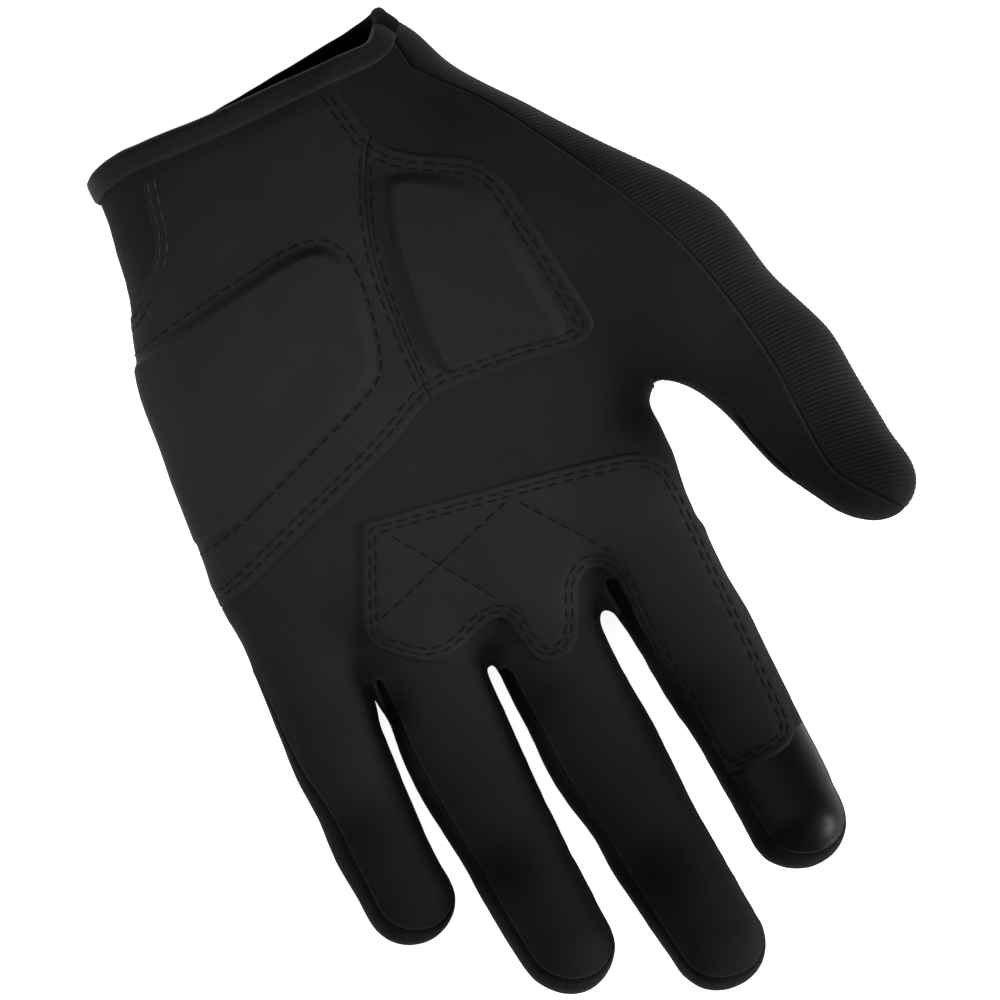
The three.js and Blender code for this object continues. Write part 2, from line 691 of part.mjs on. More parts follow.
for (const finger of fingers) {
  const hinge = new THREE.Vector3(finger.centreX, finger.knuckle, midHeight(finger.knuckle) + fingerHingeRise);
  const end = new THREE.Group();
  end.position.copy(hinge);
  const past = shell.intersect(fingerPast(finger, flexHalf));
  const front = past.intersect(frontSide);
  const patchStart = finger.reach - touchPatchLength;
  if (finger.name === 'index') {
    end.add(
      piece('index_end_front', front.subtract(box(farLeft, 0, patchStart - half, gloveLength)), overlay, hinge),
      piece('index_touch_tip', front.intersect(box(farLeft, 0, patchStart + half, gloveLength)), touch, hinge),
    );
  } else {
    end.add(piece(`${finger.name}_end_front`, front, suede, hinge));
  }
  end.add(
    piece(`${finger.name}_end_side`, past.intersect(stripSide), stretch, hinge),
    piece(`${finger.name}_end_back`, past.intersect(backSide), stretch, hinge),
  );
  const bend = shell.intersect(fingerPast(finger, gap - flexHalf)).subtract(fingerPast(finger, flexHalf - gap));
  hand.add(piece(`${finger.name}_flex_band`, bend, suede));
  glove.add(end);
}

const thumbEnd = new THREE.Group();
thumbEnd.position.copy(thumbFrame.point);
const thumbTip = shell.intersect(thumbPast(thumbFlexHalf));
const thumbFront = thumbTip.intersect(aboveThumb(half)).subtract(leftOfSeam(half));
const thumbRear = thumbTip.subtract(aboveThumb(-half).subtract(leftOfSeam(-half)));
const thumbBend = shell.intersect(thumbPast(gap - thumbFlexHalf)).subtract(thumbPast(thumbFlexHalf - gap));
thumbEnd.add(
  piece('thumb_end_front', thumbFront, suede, thumbFrame.point),
  piece('thumb_end_back', thumbRear, ribbed, thumbFrame.point),
);
hand.add(piece('thumb_flex_band', thumbBend, suede));
glove.add(thumbEnd);

// The origin lies under the middle of the whole glove, on the table
const bounds = new THREE.Box3().setFromObject(glove);
const centre = bounds.getCenter(new THREE.Vector3());
glove.position.set(-centre.x, -centre.y, -bounds.min.z);

export default glove;
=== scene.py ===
"""A left-hand motocross glove lying on its back on a pale floor, palm up.

The glove's form is a smooth field on a grid. Its skin is cut along the seams of the sewing
pattern into panels, and each panel gets its own height, turned edge, stitches and material.
Lengths are millimetres in the pattern's frame: X across, Y from the cuff, Z up out of the palm.
"""
import math

import bpy
import numpy as np
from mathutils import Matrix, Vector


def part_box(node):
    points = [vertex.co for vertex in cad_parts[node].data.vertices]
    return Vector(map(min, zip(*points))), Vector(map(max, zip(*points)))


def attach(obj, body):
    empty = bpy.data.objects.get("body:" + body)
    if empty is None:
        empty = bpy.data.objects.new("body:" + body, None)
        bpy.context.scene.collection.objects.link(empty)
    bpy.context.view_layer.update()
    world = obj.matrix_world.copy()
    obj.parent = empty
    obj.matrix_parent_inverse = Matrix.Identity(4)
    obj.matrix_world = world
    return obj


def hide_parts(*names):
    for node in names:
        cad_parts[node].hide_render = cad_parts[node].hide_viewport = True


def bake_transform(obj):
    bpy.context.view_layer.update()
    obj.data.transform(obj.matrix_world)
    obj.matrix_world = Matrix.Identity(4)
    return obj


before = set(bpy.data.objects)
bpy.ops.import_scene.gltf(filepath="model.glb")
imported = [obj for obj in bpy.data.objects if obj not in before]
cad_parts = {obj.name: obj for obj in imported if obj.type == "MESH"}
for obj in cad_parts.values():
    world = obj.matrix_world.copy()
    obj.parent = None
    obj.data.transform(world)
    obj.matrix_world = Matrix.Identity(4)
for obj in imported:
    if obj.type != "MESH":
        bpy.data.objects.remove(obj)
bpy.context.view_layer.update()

import openvdb
from mathutils import Matrix, Vector
from mathutils.kdtree import KDTree

# Sizes
MM = 0.001
GLOVE_LENGTH = 212.0
PALM_WIDTH = 97.0
PALM_DEPTH = 39.0
REST_FLAT = 0.5
REACH = {"index": 198.0, "middle": 212.0, "ring": 197.5, "little": 173.0}
WIDTH = {"index": 23.2, "middle": 22.6, "ring": 22.8, "little": 19.6}
STILL = {"index": 140.0, "middle": 141.0, "ring": 138.0, "little": 126.0}
FINGERS = list(REACH)
FINGERTIP_DOME = 9.5
FINGER_DEPTH = 0.91
THUMB_REACH = 142.5
THUMB_WIDTH = 36.0
THUMB_DEPTH = 34.0
THUMB_END = 34.0
THUMBTIP_DOME = 11.0
THUMB_BEND = 11.0
WEB_BOW = 11.5
PALM_POWER = 2.4
BACK_POWER = 3.1
FINGER_POWER = 2.1
STRIP_HEIGHT = 9.0
STRIP_TILT = 0.3
WEB_STARTS = (120.5, 126.5, 115.5)
WEB_ENDS = (133.0, 134.0, 129.0)
GAP_SHARES = (0.46, 0.5, 0.65)
# Half of a finger stall's width, as a share of its width in WIDTH
STALL_HALF = 0.515
# How widely neighbouring forms melt into each other
FINGER_MELT, PALM_MELT, THUMB_MELT = 1.0, 4.5, 12.0
# The thumb's inner seam: where its lip rises or falls, and how far
THUMB_LIP = [(93.5, 98, 5.6), (108, 113, -1.4), (123, 129, -4.2)]
BINDING_WIDTH = 3.9
BINDING_THICKNESS = 0.8
WALL = 1.5
VOXEL = 1.0
MARGIN = 5.0
PAD_ROWS = (1.9, 3.35)
SEAM_ROW = 1.1
WRIST_ROWS = (1.25, 2.7)
FOAM_ROW = 1.2
SADDLE_ROWS = (1.7, 2.9)
CROSSED_ROWS = {
    "cross_one": ((16.3, 95.0), (2.7, 118.5)),
    "cross_two": ((27.9, 110.4), (-9.5, 100.8)),
    "cross_three": ((-9.5, 100.8), (-23.6, 122.6)),
}
OVERLAY_LIFT = 0.65
FOAM_RISE = 2.1
RIB_PITCH = 0.92
RIB_DEPTH = 0.13
RIB_CUTS = ((2.0, 0.0), (2.0, 1.0), (1.0, 0.5), (0.5, 0.25))
FOAM_SLOPE = 2.2
# The foam lies inside its outline and under the cover's face, and has at least a thin edge
FOAM_INSET = 0.4
FOAM_UNDER = 1.3
FOAM_SPARE = 0.2
FOAM_LEAST = 0.15
# A stitch row's groove, and the rows of points beside it
GROOVE_DEPTH = 0.13
GROOVE_WIDTH = 0.45
ROW_STEP = 0.55
LOWEST = REST_FLAT + 0.35
LINING_END = 118.0
TURNED_EDGE = 1.6
# Rows of points near a laid edge and near a panel's rim
EDGE_ROWS = [0.22, 0.5]
RIM_ROWS = [0.3, 0.8, 1.3]
# A stitch: its length and pitch, stations along it, points round it, and at each station its
# thickness and how far it stands up
STITCH_LENGTH = 2.7
STITCH_PITCH = 3.3
STITCH_AT = np.array([0, 0.12, 0.5, 0.88, 1])
STITCH_ROUND = 6
STITCH_THICK = 0.17 * np.array([0.25, 0.85, 1, 0.85, 0.25])
STITCH_LIFT = 0.17 * np.array([-0.9, 0.1, 0.45, 0.1, -0.9])
# Painted highlights on turned edges (their distance from the rim, width and gain) and on the
# wrist's thread, and painted shade in the webs, as gains on the painted shade
PAINTED_EDGE_HIGHLIGHT = (0.45, 0.22, 1.1)
PAINTED_WRIST_HIGHLIGHT = 5
PAINTED_WEB_SHADE = 0.85
# The ribs rise from the cuff on over the first stretch, and their colour carries painted shade up to
# the second
RIBS_RISE = (16.0, 36.0)
RIBS_PAINTED_SHADE = (38.0, 72.0)
# How far the tape's back half, near black as painted shade, comes up on the thumb's side
TAPE_RISE = 11.3
# Dents and swellings on the palm side: x, y, reach, amount
DENTS = [
    (-17, 123.5, 4.2, -1.5), (-19.3, 127.5, 2.4, -1), (-19.3, 132, 2.4, -0.9),
    (5, 123.5, 3.2, -1.3), (4.8, 128.5, 2.4, -1.2), (33, 113, 4, -0.8), (-40, 96, 6, -1.5),
]
# Where the outline stands out or in from the plain sweep: x, y, amount. All rows but the last
# were made by another program, a least-squares fit of this outline to the photograph's, and
# not chosen by hand.
EDGE_REACH = 7.0
EDGE_MOVES = [
    (-43, 14, -1.1), (-47, 22, -0.5), (-57, 37, -0.6), (-62, 45, -0.6), (-71, 60, 0.9),
    (-74, 69, 1.7), (-77, 77, 0.5), (-80, 86, -0.9), (-83, 103, 1.1), (-87, 130, -1.3),
    (-70, 139, -0.7), (-66, 131, 0.3), (-63, 122, 1.6), (-61, 114, 1.6), (-57, 106, 0.3),
    (-53, 98, -0.3), (-46, 92, 2.1), (-42, 100, 1.0), (-42, 109, 1.5), (-41, 127, 0.8),
    (-41, 145, 0.5), (-40, 190, -0.9), (-34, 196, 0.5), (-26, 197, 0.5), (-20, 191, 0.3),
    (-19, 164, -0.5), (-14, 131, 0.6), (-12, 157, 0.5), (-12, 166, 0.5), (-11, 184, 0.3),
    (-11, 193, 0.3), (-12, 202, 0.3), (-8, 210, 0.7), (8, 206, -0.9), (9, 198, -0.7), (9, 180, 0.8),
    (10, 162, 1.5), (10, 153, 1.5), (10, 144, 0.8), (10, 135, 0.5), (12, 133, -0.6),
    (13, 142, -0.9), (14, 151, -1.1), (14, 160, -1.5), (15, 169, -0.5), (15, 178, -0.3),
    (15, 187, -0.6), (19, 195, 0.3), (27, 197, 0.8), (34, 192, -0.4), (35, 183, 0.3),
    (35, 174, 0.3), (36, 165, -0.3), (36, 156, 0.4), (36, 147, 1.1), (36, 138, 1.8), (36, 124, 1.0),
    (38, 133, -0.8), (39, 141, -1.1), (40, 150, -0.5), (43, 168, 1.1), (50, 172, 0.4),
    (57, 168, 0.4), (58, 159, 0.2), (58, 150, 0.9), (57, 141, 0.3), (57, 132, 1.0), (56, 123, 0.5),
    (55, 114, 0.5), (53, 105, 0.9), (53, 96, 0.4), (54, 87, -0.3), (53, 78, -0.4), (53, 69, -0.9),
    (52, 60, -1.3), (50, 52, -0.8), (40, 27, -0.5), (36, 9, -0.3), (-38, 7, 0.8), (-4, 212, 0.2),
    (11, 156, 0.7), (10, 138, 0.9), (13, 137, -0.8), (15, 155, -0.5), (37, 144, 0.3),
    (36, 135, 0.4), (37, 130, -0.3), (38, 138, -0.4), (48, 48, 0.4), (42, 32, 0.3), (39, 23, -0.3),
    (36, 14, 0.4), (36, 124.5, -0.45),
]
# Painted shade on the palm side's colour, darker in creases, webs and towards the fingertips,
# lighter at one spot: x, y, reach, amount
PAINTED_SHADE_SPOTS = [
    (-23.6, 157, 7, -0.45), (-26, 174, 8, -0.4), (0, 184, 8, -0.6), (4.5, 141, 6, -0.45),
    (9, 128, 2.5, -0.3), (33, 128, 4, -0.7), (28, 168, 7, -0.55), (50, 146, 7, -0.4),
    (-69, 126, 9, -0.35), (-80, 138, 8, -0.7), (-42, 97, 6, -0.45), (-46, 17, 14, -0.65),
    (-62, 90, 9, 0.25),
]
ELASTIC_LENGTH = 16.0
ELASTIC_WIDTH = 58.0
TIP_LINE = REACH["index"] - 26.5

# Shares: across of PALM_WIDTH, along of GLOVE_LENGTH, deep of PALM_DEPTH
PALM_ROWS = [
    (0, -0.352, 0.366, 0.5), (0.035, -0.388, 0.369, 0.5), (0.06, -0.41, 0.377, 0.5),
    (0.1, -0.428, 0.403, 0.495), (0.155, -0.45, 0.437, 0.49), (0.215, -0.475, 0.484, 0.48),
    (0.285, -0.505, 0.523, 0.462), (0.355, -0.53, 0.54, 0.435), (0.41, -0.53, 0.55, 0.405),
    (0.44, -0.495, 0.555, 0.385), (0.463, -0.452, 0.56, 0.365), (0.51, -0.44, 0.56, 0.33),
    (0.548, -0.433, 0.55, 0.298), (0.577, -0.427, 0.53, 0.246), (0.6, -0.412, 0.5, 0.17),
    (0.614, -0.38, 0.46, 0.08),
]
MID_HEIGHTS = [
    (-0.3, 0.5), (0, 0.5), (0.1, 0.495), (0.2, 0.483), (0.3, 0.458), (0.4, 0.41), (0.5, 0.335),
    (0.58, 0.298), (0.66, 0.305), (0.74, 0.345), (0.82, 0.42), (0.9, 0.52), (1, 0.665), (1.3, 1.1),
]
CUFF_PALM = [
    (-0.37, 0.0), (-0.348, 0.01), (-0.323, 0.0235), (-0.296, 0.0275), (-0.192, 0.0243),
    (-0.1, 0.0218), (-0.005, 0.0193), (0.089, 0.0155), (0.18, 0.01), (0.273, 0.0042), (0.33, 0.005),
    (0.37, 0.009),
]
CUFF_BACK = [(-0.37, -0.0045), (0.068, 0.0015), (0.2, 0.009), (0.37, 0.009)]
SPINES = {
    "index": [(-0.272, 0.43), (-0.295, 0.57), (-0.304, 0.71), (-0.305, 0.85), (-0.304, 1)],
    "middle": [(-0.01, 0.43), (-0.012, 0.6), (-0.009, 0.71), (-0.012, 0.85), (-0.02, 1.05)],
    "ring": [(0.21, 0.42), (0.246, 0.6), (0.259, 0.71), (0.263, 0.83), (0.258, 1)],
    "little": [(0.425, 0.4), (0.474, 0.565), (0.503, 0.675), (0.513, 0.745), (0.51, 0.9)],
}
FINGER_WIDTHS = [(0, 0.86), (0.34, 1), (0.5, 0.985), (0.62, 0.935), (0.8, 0.885), (1, 0.87)]
THUMB_SPINE = [
    (-0.2, 0.06, 0.5), (-0.37, 0.184, 0.52), (-0.575, 0.328, 0.56), (-0.677, 0.425, 0.64),
    (-0.738, 0.515, 0.73), (-0.766, 0.585, 0.8), (-0.815, 0.672, 0.88),
]
THUMB_WIDTHS = [
    (0, 0.78), (0.2, 1), (0.42, 1.03), (0.6, 0.86), (0.76, 0.69), (0.88, 0.59), (1, 0.54),
]
THUMB_SEAM = [
    (-0.28, -0.05), (-0.3, 0.025), (-0.317, 0.037), (-0.395, 0.088), (-0.455, 0.12),
    (-0.504, 0.161), (-0.551, 0.203), (-0.597, 0.246), (-0.64, 0.291), (-0.679, 0.34),
    (-0.705, 0.399), (-0.726, 0.483), (-0.72, 0.54), (-0.718, 0.6), (-0.748, 0.627), (-0.8, 0.66),
    (-0.9, 0.72),
]
THUMB_BACK = [
    (-0.34, -0.05), (-0.37, 0.14), (-0.42, 0.28), (-0.47, 0.41), (-0.5, 0.47), (-0.5, 0.8),
]
CUFF_TO_PADS = [(-0.186, -0.05), (-0.194, 0.036), (-0.196, 0.06), (-0.204, 0.085), (-0.208, 0.105)]
BETWEEN_PADS = [
    (-0.25, 0.085), (-0.208, 0.105), (-0.187, 0.114), (-0.139, 0.152), (-0.103, 0.188),
    (-0.08, 0.227), (-0.067, 0.269), (-0.057, 0.311),
]
PAD_CORNER = [(-0.051, 0.352)]
BELOW_HEEL = [(0.049, 0.374), (0.224, 0.397), (0.367, 0.414), (0.512, 0.433), (0.66, 0.436)]
WRIST_SEAM = [
    (0.66, 0.15), (0.436, 0.143), (0.409, 0.137), (0.36, 0.121), (0.328, 0.11), (0.296, 0.093),
    (0.273, 0.053), (0.243, 0.011), (0.23, -0.05),
]
ROUND_THENAR = [
    (-0.142, 0.358), (-0.209, 0.363), (-0.299, 0.37), (-0.384, 0.381), (-0.431, 0.372),
    (-0.437, 0.357), (-0.431, 0.322), (-0.426, 0.276), (-0.416, 0.223), (-0.413, 0.202),
    (-0.393, 0.181), (-0.363, 0.166), (-0.317, 0.153), (-0.245, 0.131),
]
HEEL_FOAM = [
    (0.426, 0.18), (0.297, 0.174), (0.169, 0.17), (0.066, 0.166), (-0.001, 0.171), (-0.032, 0.186),
    (-0.036, 0.207), (-0.026, 0.242), (-0.006, 0.276), (0.015, 0.302), (0.044, 0.314),
    (0.141, 0.328), (0.286, 0.347), (0.42, 0.366), (0.56, 0.375), (0.66, 0.36), (0.66, 0.21),
    (0.56, 0.19),
]
THENAR_FOAM = [
    (-0.184, 0.147), (-0.225, 0.148), (-0.315, 0.175), (-0.352, 0.197), (-0.37, 0.235),
    (-0.374, 0.288), (-0.383, 0.352), (-0.366, 0.367), (-0.31, 0.361), (-0.224, 0.351),
    (-0.153, 0.349), (-0.103, 0.346), (-0.091, 0.325), (-0.102, 0.28), (-0.119, 0.232),
    (-0.145, 0.188),
]
SADDLE = [
    (0.206, 0.427, 1.5), (0.036, 0.445), (-0.115, 0.462), (-0.265, 0.479), (-0.433, 0.503),
    (-0.433, 0.563), (-0.422, 0.623), (-0.416, 0.688), (-0.405, 0.758), (-0.396, 0.822, 6),
    (-0.2, 0.822, 5), (-0.209, 0.748), (-0.202, 0.693), (-0.203, 0.642), (-0.217, 0.59),
    (-0.18, 0.574), (-0.154, 0.577), (-0.129, 0.587), (-0.102, 0.614), (-0.077, 0.63),
    (-0.046, 0.639), (0, 0.638), (0.018, 0.632), (0.029, 0.62), (0.032, 0.583), (0.045, 0.574),
    (0.073, 0.572), (0.111, 0.577), (0.155, 0.583), (0.193, 0.584), (0.235, 0.578), (0.275, 0.561),
    (0.305, 0.545), (0.317, 0.53), (0.312, 0.515),
]

# The pattern's origin in the row frame, read from CAD nodes that lie on its axes
_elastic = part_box("cuff_elastic")
_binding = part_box("cuff_binding")
ORIGIN = np.array([(_elastic[0].x + _elastic[1].x) / 2, _binding[0].y, -REST_FLAT * MM])


def to_row(points):
    """Pattern millimetres to metres in the row frame."""
    return np.asarray(points) * MM + ORIGIN


# Curves and small maths
def curve(rows, at, column=1, unit=1.0, scale=1.0):
    """A smooth curve through a table's rows, level beyond its ends."""
    xs = np.array([row[0] for row in rows], float) * unit
    ys = np.array([row[column] for row in rows], float) * scale
    slopes = np.gradient(ys, xs)
    at = np.clip(at, xs[0], xs[-1])
    i = np.clip(np.searchsorted(xs, at, side="right") - 1, 0, len(xs) - 2)
    span = xs[i + 1] - xs[i]
    t = (at - xs[i]) / span
    rise = (3 - 2 * t) * t * t
    return (
        ys[i] * (1 - rise) + ys[i + 1] * rise
        + span * t * (1 - t) * ((1 - t) * slopes[i] - t * slopes[i + 1])
    )


def ease(value, low, high):
    t = np.clip((value - low) / (high - low), 0, 1)
    return t * t * (3 - 2 * t)


def unit(rows):
    """Each row at length one."""
    return rows / np.maximum(np.linalg.norm(rows, axis=1), 1e-9)[:, None]


def gone_by(points):
    """Distance along a line up to each of its points."""
    return np.concatenate([[0], np.cumsum(np.linalg.norm(np.diff(points, axis=0), axis=1))])


def read_along(at, gone, rows):
    """Rows of three values, read at distances along a line."""
    return np.stack([np.interp(at, gone, rows[:, k]) for k in range(3)], axis=1)


def mid_height(y):
    return curve(MID_HEIGHTS, y, unit=GLOVE_LENGTH, scale=PALM_DEPTH)


def spine_x(name, y):
    rows = [(along, across) for across, along in SPINES[name]]
    return curve(rows, y, unit=GLOVE_LENGTH, scale=PALM_WIDTH)


def rounded(rows, closed, soft=9.0):
    """A plan outline from its shares, each corner eased over a few millimetres."""
    flat = np.array([(row[0] * PALM_WIDTH, row[1] * GLOVE_LENGTH) for row in rows])
    softness = [row[2] if len(row) > 2 else soft for row in rows]
    count = len(flat)
    points = []
    for i, point in enumerate(flat):
        if not closed and i in (0, count - 1):
            points.append(point)
            continue
        back = flat[i - 1] - point
        ahead = flat[(i + 1) % count] - point
        cut_back = min(softness[i], np.linalg.norm(back) / 2)
        cut_ahead = min(softness[i], np.linalg.norm(ahead) / 2)
        start = point + back / np.linalg.norm(back) * cut_back
        end = point + ahead / np.linalg.norm(ahead) * cut_ahead
        for t in np.linspace(0, 1, 5):
            points.append((1 - t) ** 2 * start + 2 * t * (1 - t) * point + t * t * end)
    points = np.array(points)
    step = np.linalg.norm(np.diff(points, axis=0), axis=1) > 0.05
    return points[np.concatenate([[True], step])]


def measure(points, line, closed=False):
    """Distance from plan points to a line, and on which side they lie (positive on the right)."""
    best = np.full(len(points), np.inf)
    side = np.ones(len(points))
    ends = np.roll(line, -1, axis=0) if closed else line[1:]
    for a, b in zip(line, ends):
        edge = b - a
        length = edge @ edge
        if length == 0:
            continue
        from_a = points - a
        t = np.clip((from_a @ edge) / length, 0, 1)
        off = from_a - t[:, None] * edge
        distance = np.hypot(off[:, 0], off[:, 1])
        nearer = distance < best
        best[nearer] = distance[nearer]
        turn = from_a[:, 1] * edge[0] - from_a[:, 0] * edge[1]
        side[nearer] = np.where(turn[nearer] > 0, -1, 1)
    return best, side


def inside(points, outline):
    """Signed distance to a closed outline, negative inside."""
    best, _ = measure(points, outline, closed=True)
    odd = np.zeros(len(points), bool)
    for a, b in zip(outline, np.roll(outline, -1, axis=0)):
        if a[1] == b[1]:
            continue
        crosses = (a[1] > points[:, 1]) != (b[1] > points[:, 1])
        at = a[0] + (points[:, 1] - a[1]) * (b[0] - a[0]) / (b[1] - a[1])
        odd ^= crosses & (points[:, 0] < at)
    return np.where(odd, -best, best)


def noise3(points, scale, seed=0):
    """Smooth noise between -1 and 1: a few sine waves in mixed directions."""
    rng = np.random.default_rng(seed)
    total = np.zeros(len(points))
    for _ in range(7):
        direction = rng.normal(size=3)
        direction /= np.linalg.norm(direction)
        total += np.sin(points @ direction * (2 * math.pi / scale) * rng.uniform(0.6, 1.7)
                        + rng.uniform(0, 2 * math.pi))
    return total / 4


# The form as a distance field
def oval(across, up, reach, half, power):
    """The share of a superellipse's size at a point, and how steeply that share grows there."""
    a = np.abs(across) / reach
    b = np.abs(up) / half
    share = np.maximum((a ** power + b ** power) ** (1 / power), 1e-3)
    slope = share ** (1 - power) * np.hypot(a ** (power - 1) / reach, b ** (power - 1) / half)
    return share, np.maximum(slope, 0.4 / np.maximum(reach, half))


def palm_field(x, y, z):
    station = y
    for _ in range(3):
        bow = WEB_BOW * ease(station, 0.3 * GLOVE_LENGTH, 0.6 * GLOVE_LENGTH)
        station = y + bow * ((x + 0.1 * PALM_WIDTH) / (0.464 * PALM_WIDTH)) ** 2
    left = curve(PALM_ROWS, station, 1, GLOVE_LENGTH, PALM_WIDTH)
    right = curve(PALM_ROWS, station, 2, GLOVE_LENGTH, PALM_WIDTH)
    half = curve(PALM_ROWS, station, 3, GLOVE_LENGTH, PALM_DEPTH)
    up = z - mid_height(y)
    power = np.where(up > 0, PALM_POWER, BACK_POWER)
    share, slope = oval(x - (left + right) / 2, up, (right - left) / 2, half, power)
    return np.maximum((share - 1) / slope, station - PALM_ROWS[-1][0] * GLOVE_LENGTH)


class Spine:
    """A line of stations with frames, for sweeping sections."""

    def __init__(self, points, count=70):
        points = np.array(points, float)
        length = gone_by(points)
        fine = np.linspace(0, length[-1], 400)
        rough = np.stack([curve(list(zip(length, points[:, k])), fine) for k in range(3)], axis=1)
        true = gone_by(rough)
        self.length = true[-1]
        self.at = np.linspace(0, self.length, count)
        self.centres = read_along(self.at, true, rough)
        self.forward = unit(np.gradient(self.centres, self.at, axis=0))
        self.side = unit(np.array([1.0, 0, 0]) - self.forward * self.forward[:, :1])
        self.up = np.cross(self.side, self.forward)

    def locate(self, points):
        """Distance along the spine, and the offsets across and up from it."""
        best = np.full(len(points), np.inf)
        index = np.zeros(len(points), int)
        for k, centre in enumerate(self.centres):
            distance = ((points - centre) ** 2).sum(axis=1)
            nearer = distance < best
            best[nearer] = distance[nearer]
            index[nearer] = k
        off = points - self.centres[index]
        along = (off * self.forward[index]).sum(axis=1)
        return (
            self.at[index] + along,
            (off * self.side[index]).sum(axis=1),
            (off * self.up[index]).sum(axis=1),
        )


def finger_spine(name):
    root = SPINES[name][0][1] * GLOVE_LENGTH
    ys = np.linspace(root, REACH[name], 14)
    return Spine(np.stack([spine_x(name, ys), ys, mid_height(ys)], axis=1))


def thumb_points():
    stretch = THUMB_REACH / (THUMB_SPINE[-1][1] * GLOVE_LENGTH)
    return np.array([
        (x * PALM_WIDTH, y * GLOVE_LENGTH * stretch, z * PALM_DEPTH) for x, y, z in THUMB_SPINE
    ])


THUMB_POINTS = thumb_points()
SPINE_OF = {name: finger_spine(name) for name in FINGERS}
SPINE_OF["thumb"] = Spine(THUMB_POINTS)


def stall_field(points, name):
    spine = SPINE_OF[name]
    at, across, up = spine.locate(points)
    share_along = at / spine.length
    if name == "thumb":
        reach = curve(THUMB_WIDTHS, share_along) * THUMB_WIDTH / 2
        half = reach * THUMB_DEPTH / THUMB_WIDTH
        dome = THUMBTIP_DOME
    else:
        reach = curve(FINGER_WIDTHS, share_along) * WIDTH[name] * STALL_HALF
        half = reach * FINGER_DEPTH
        dome = FINGERTIP_DOME
    share, slope = oval(across, up, reach, half, FINGER_POWER)
    past = np.maximum(at - (spine.length - dome), 0) / dome
    total = np.maximum(np.hypot(share, past), 1e-3)
    steep = np.hypot(share * slope, past / dome) / total
    field = (total - 1) / np.maximum(steep, 0.04)
    return np.maximum(field, -at)


def melt(a, b, width):
    """The nearer of two fields, with the corner between them filled smoothly."""
    near = np.maximum(width - np.abs(a - b), 0) / width
    return np.minimum(a, b) - near * near * width / 4


LOW = np.array([-98.0, -16.0, -10.0])
HIGH = np.array([68.0, 220.0, 54.0])


def build_field():
    axes = [np.arange(low, high, VOXEL) for low, high in zip(LOW, HIGH)]
    x, y, z = np.meshgrid(*axes, indexing="ij", sparse=True)
    whole = palm_field(x, y, z)
    whole = np.broadcast_to(whole, (len(axes[0]), len(axes[1]), len(axes[2]))).copy()
    stalls = {}
    for name in FINGERS + ["thumb"]:
        reach = 26 if name == "thumb" else 18
        low = SPINE_OF[name].centres.min(axis=0) - reach
        high = SPINE_OF[name].centres.max(axis=0) + reach
        box = [np.nonzero((axis > low[k]) & (axis < high[k]))[0] for k, axis in enumerate(axes)]
        window = tuple(slice(part[0], part[-1] + 1) for part in box)
        grid = np.meshgrid(*[axes[k][window[k]] for k in range(3)], indexing="ij")
        points = np.stack([part.ravel() for part in grid], axis=1)
        near = np.full(whole.shape, 30.0)
        near[window] = stall_field(points, name).reshape(grid[0].shape)
        stalls[name] = near
    fingers = stalls["index"]
    for name in FINGERS[1:]:
        fingers = melt(fingers, stalls[name], FINGER_MELT)
    whole = melt(whole, fingers, PALM_MELT)
    return melt(whole, stalls["thumb"], THUMB_MELT)


FIELD = build_field()


def sample(grid, points):
    """Trilinear reading of a grid at points in millimetres."""
    at = (points - LOW) / VOXEL
    at = np.clip(at, 0, np.array(grid.shape) - 1.001)
    low = at.astype(int)
    t = at - low
    value = 0
    for corner in range(8):
        step = np.array([(corner >> k) & 1 for k in range(3)])
        weight = np.prod(np.where(step, t, 1 - t), axis=1)
        i, j, k = (low + step).T
        value = value + grid[i, j, k] * weight
    return value


SLOPES = np.gradient(FIELD, VOXEL)


def outward(points):
    return unit(np.stack([sample(slope, points) for slope in SLOPES], axis=1))


# Skin meshes: points (n, 3), faces (m, 3), and named values at each point
class Skin:
    def __init__(self, points, faces, normals, data=None):
        self.points = points
        self.faces = faces
        self.normals = normals
        self.data = data or {}

    def keep(self, chosen):
        """The part with the chosen faces, and only the points that they use."""
        faces = self.faces[chosen]
        used, back = np.unique(faces, return_inverse=True)
        data = {name: value[used] for name, value in self.data.items()}
        return Skin(self.points[used], back.reshape(faces.shape), self.normals[used], data)

    def plan(self):
        return self.points[:, :2]


def edges_of(rows):
    """The three directed edges of every face, or the values at their ends."""
    return np.concatenate([rows[:, [k, (k + 1) % 3]] for k in range(3)])


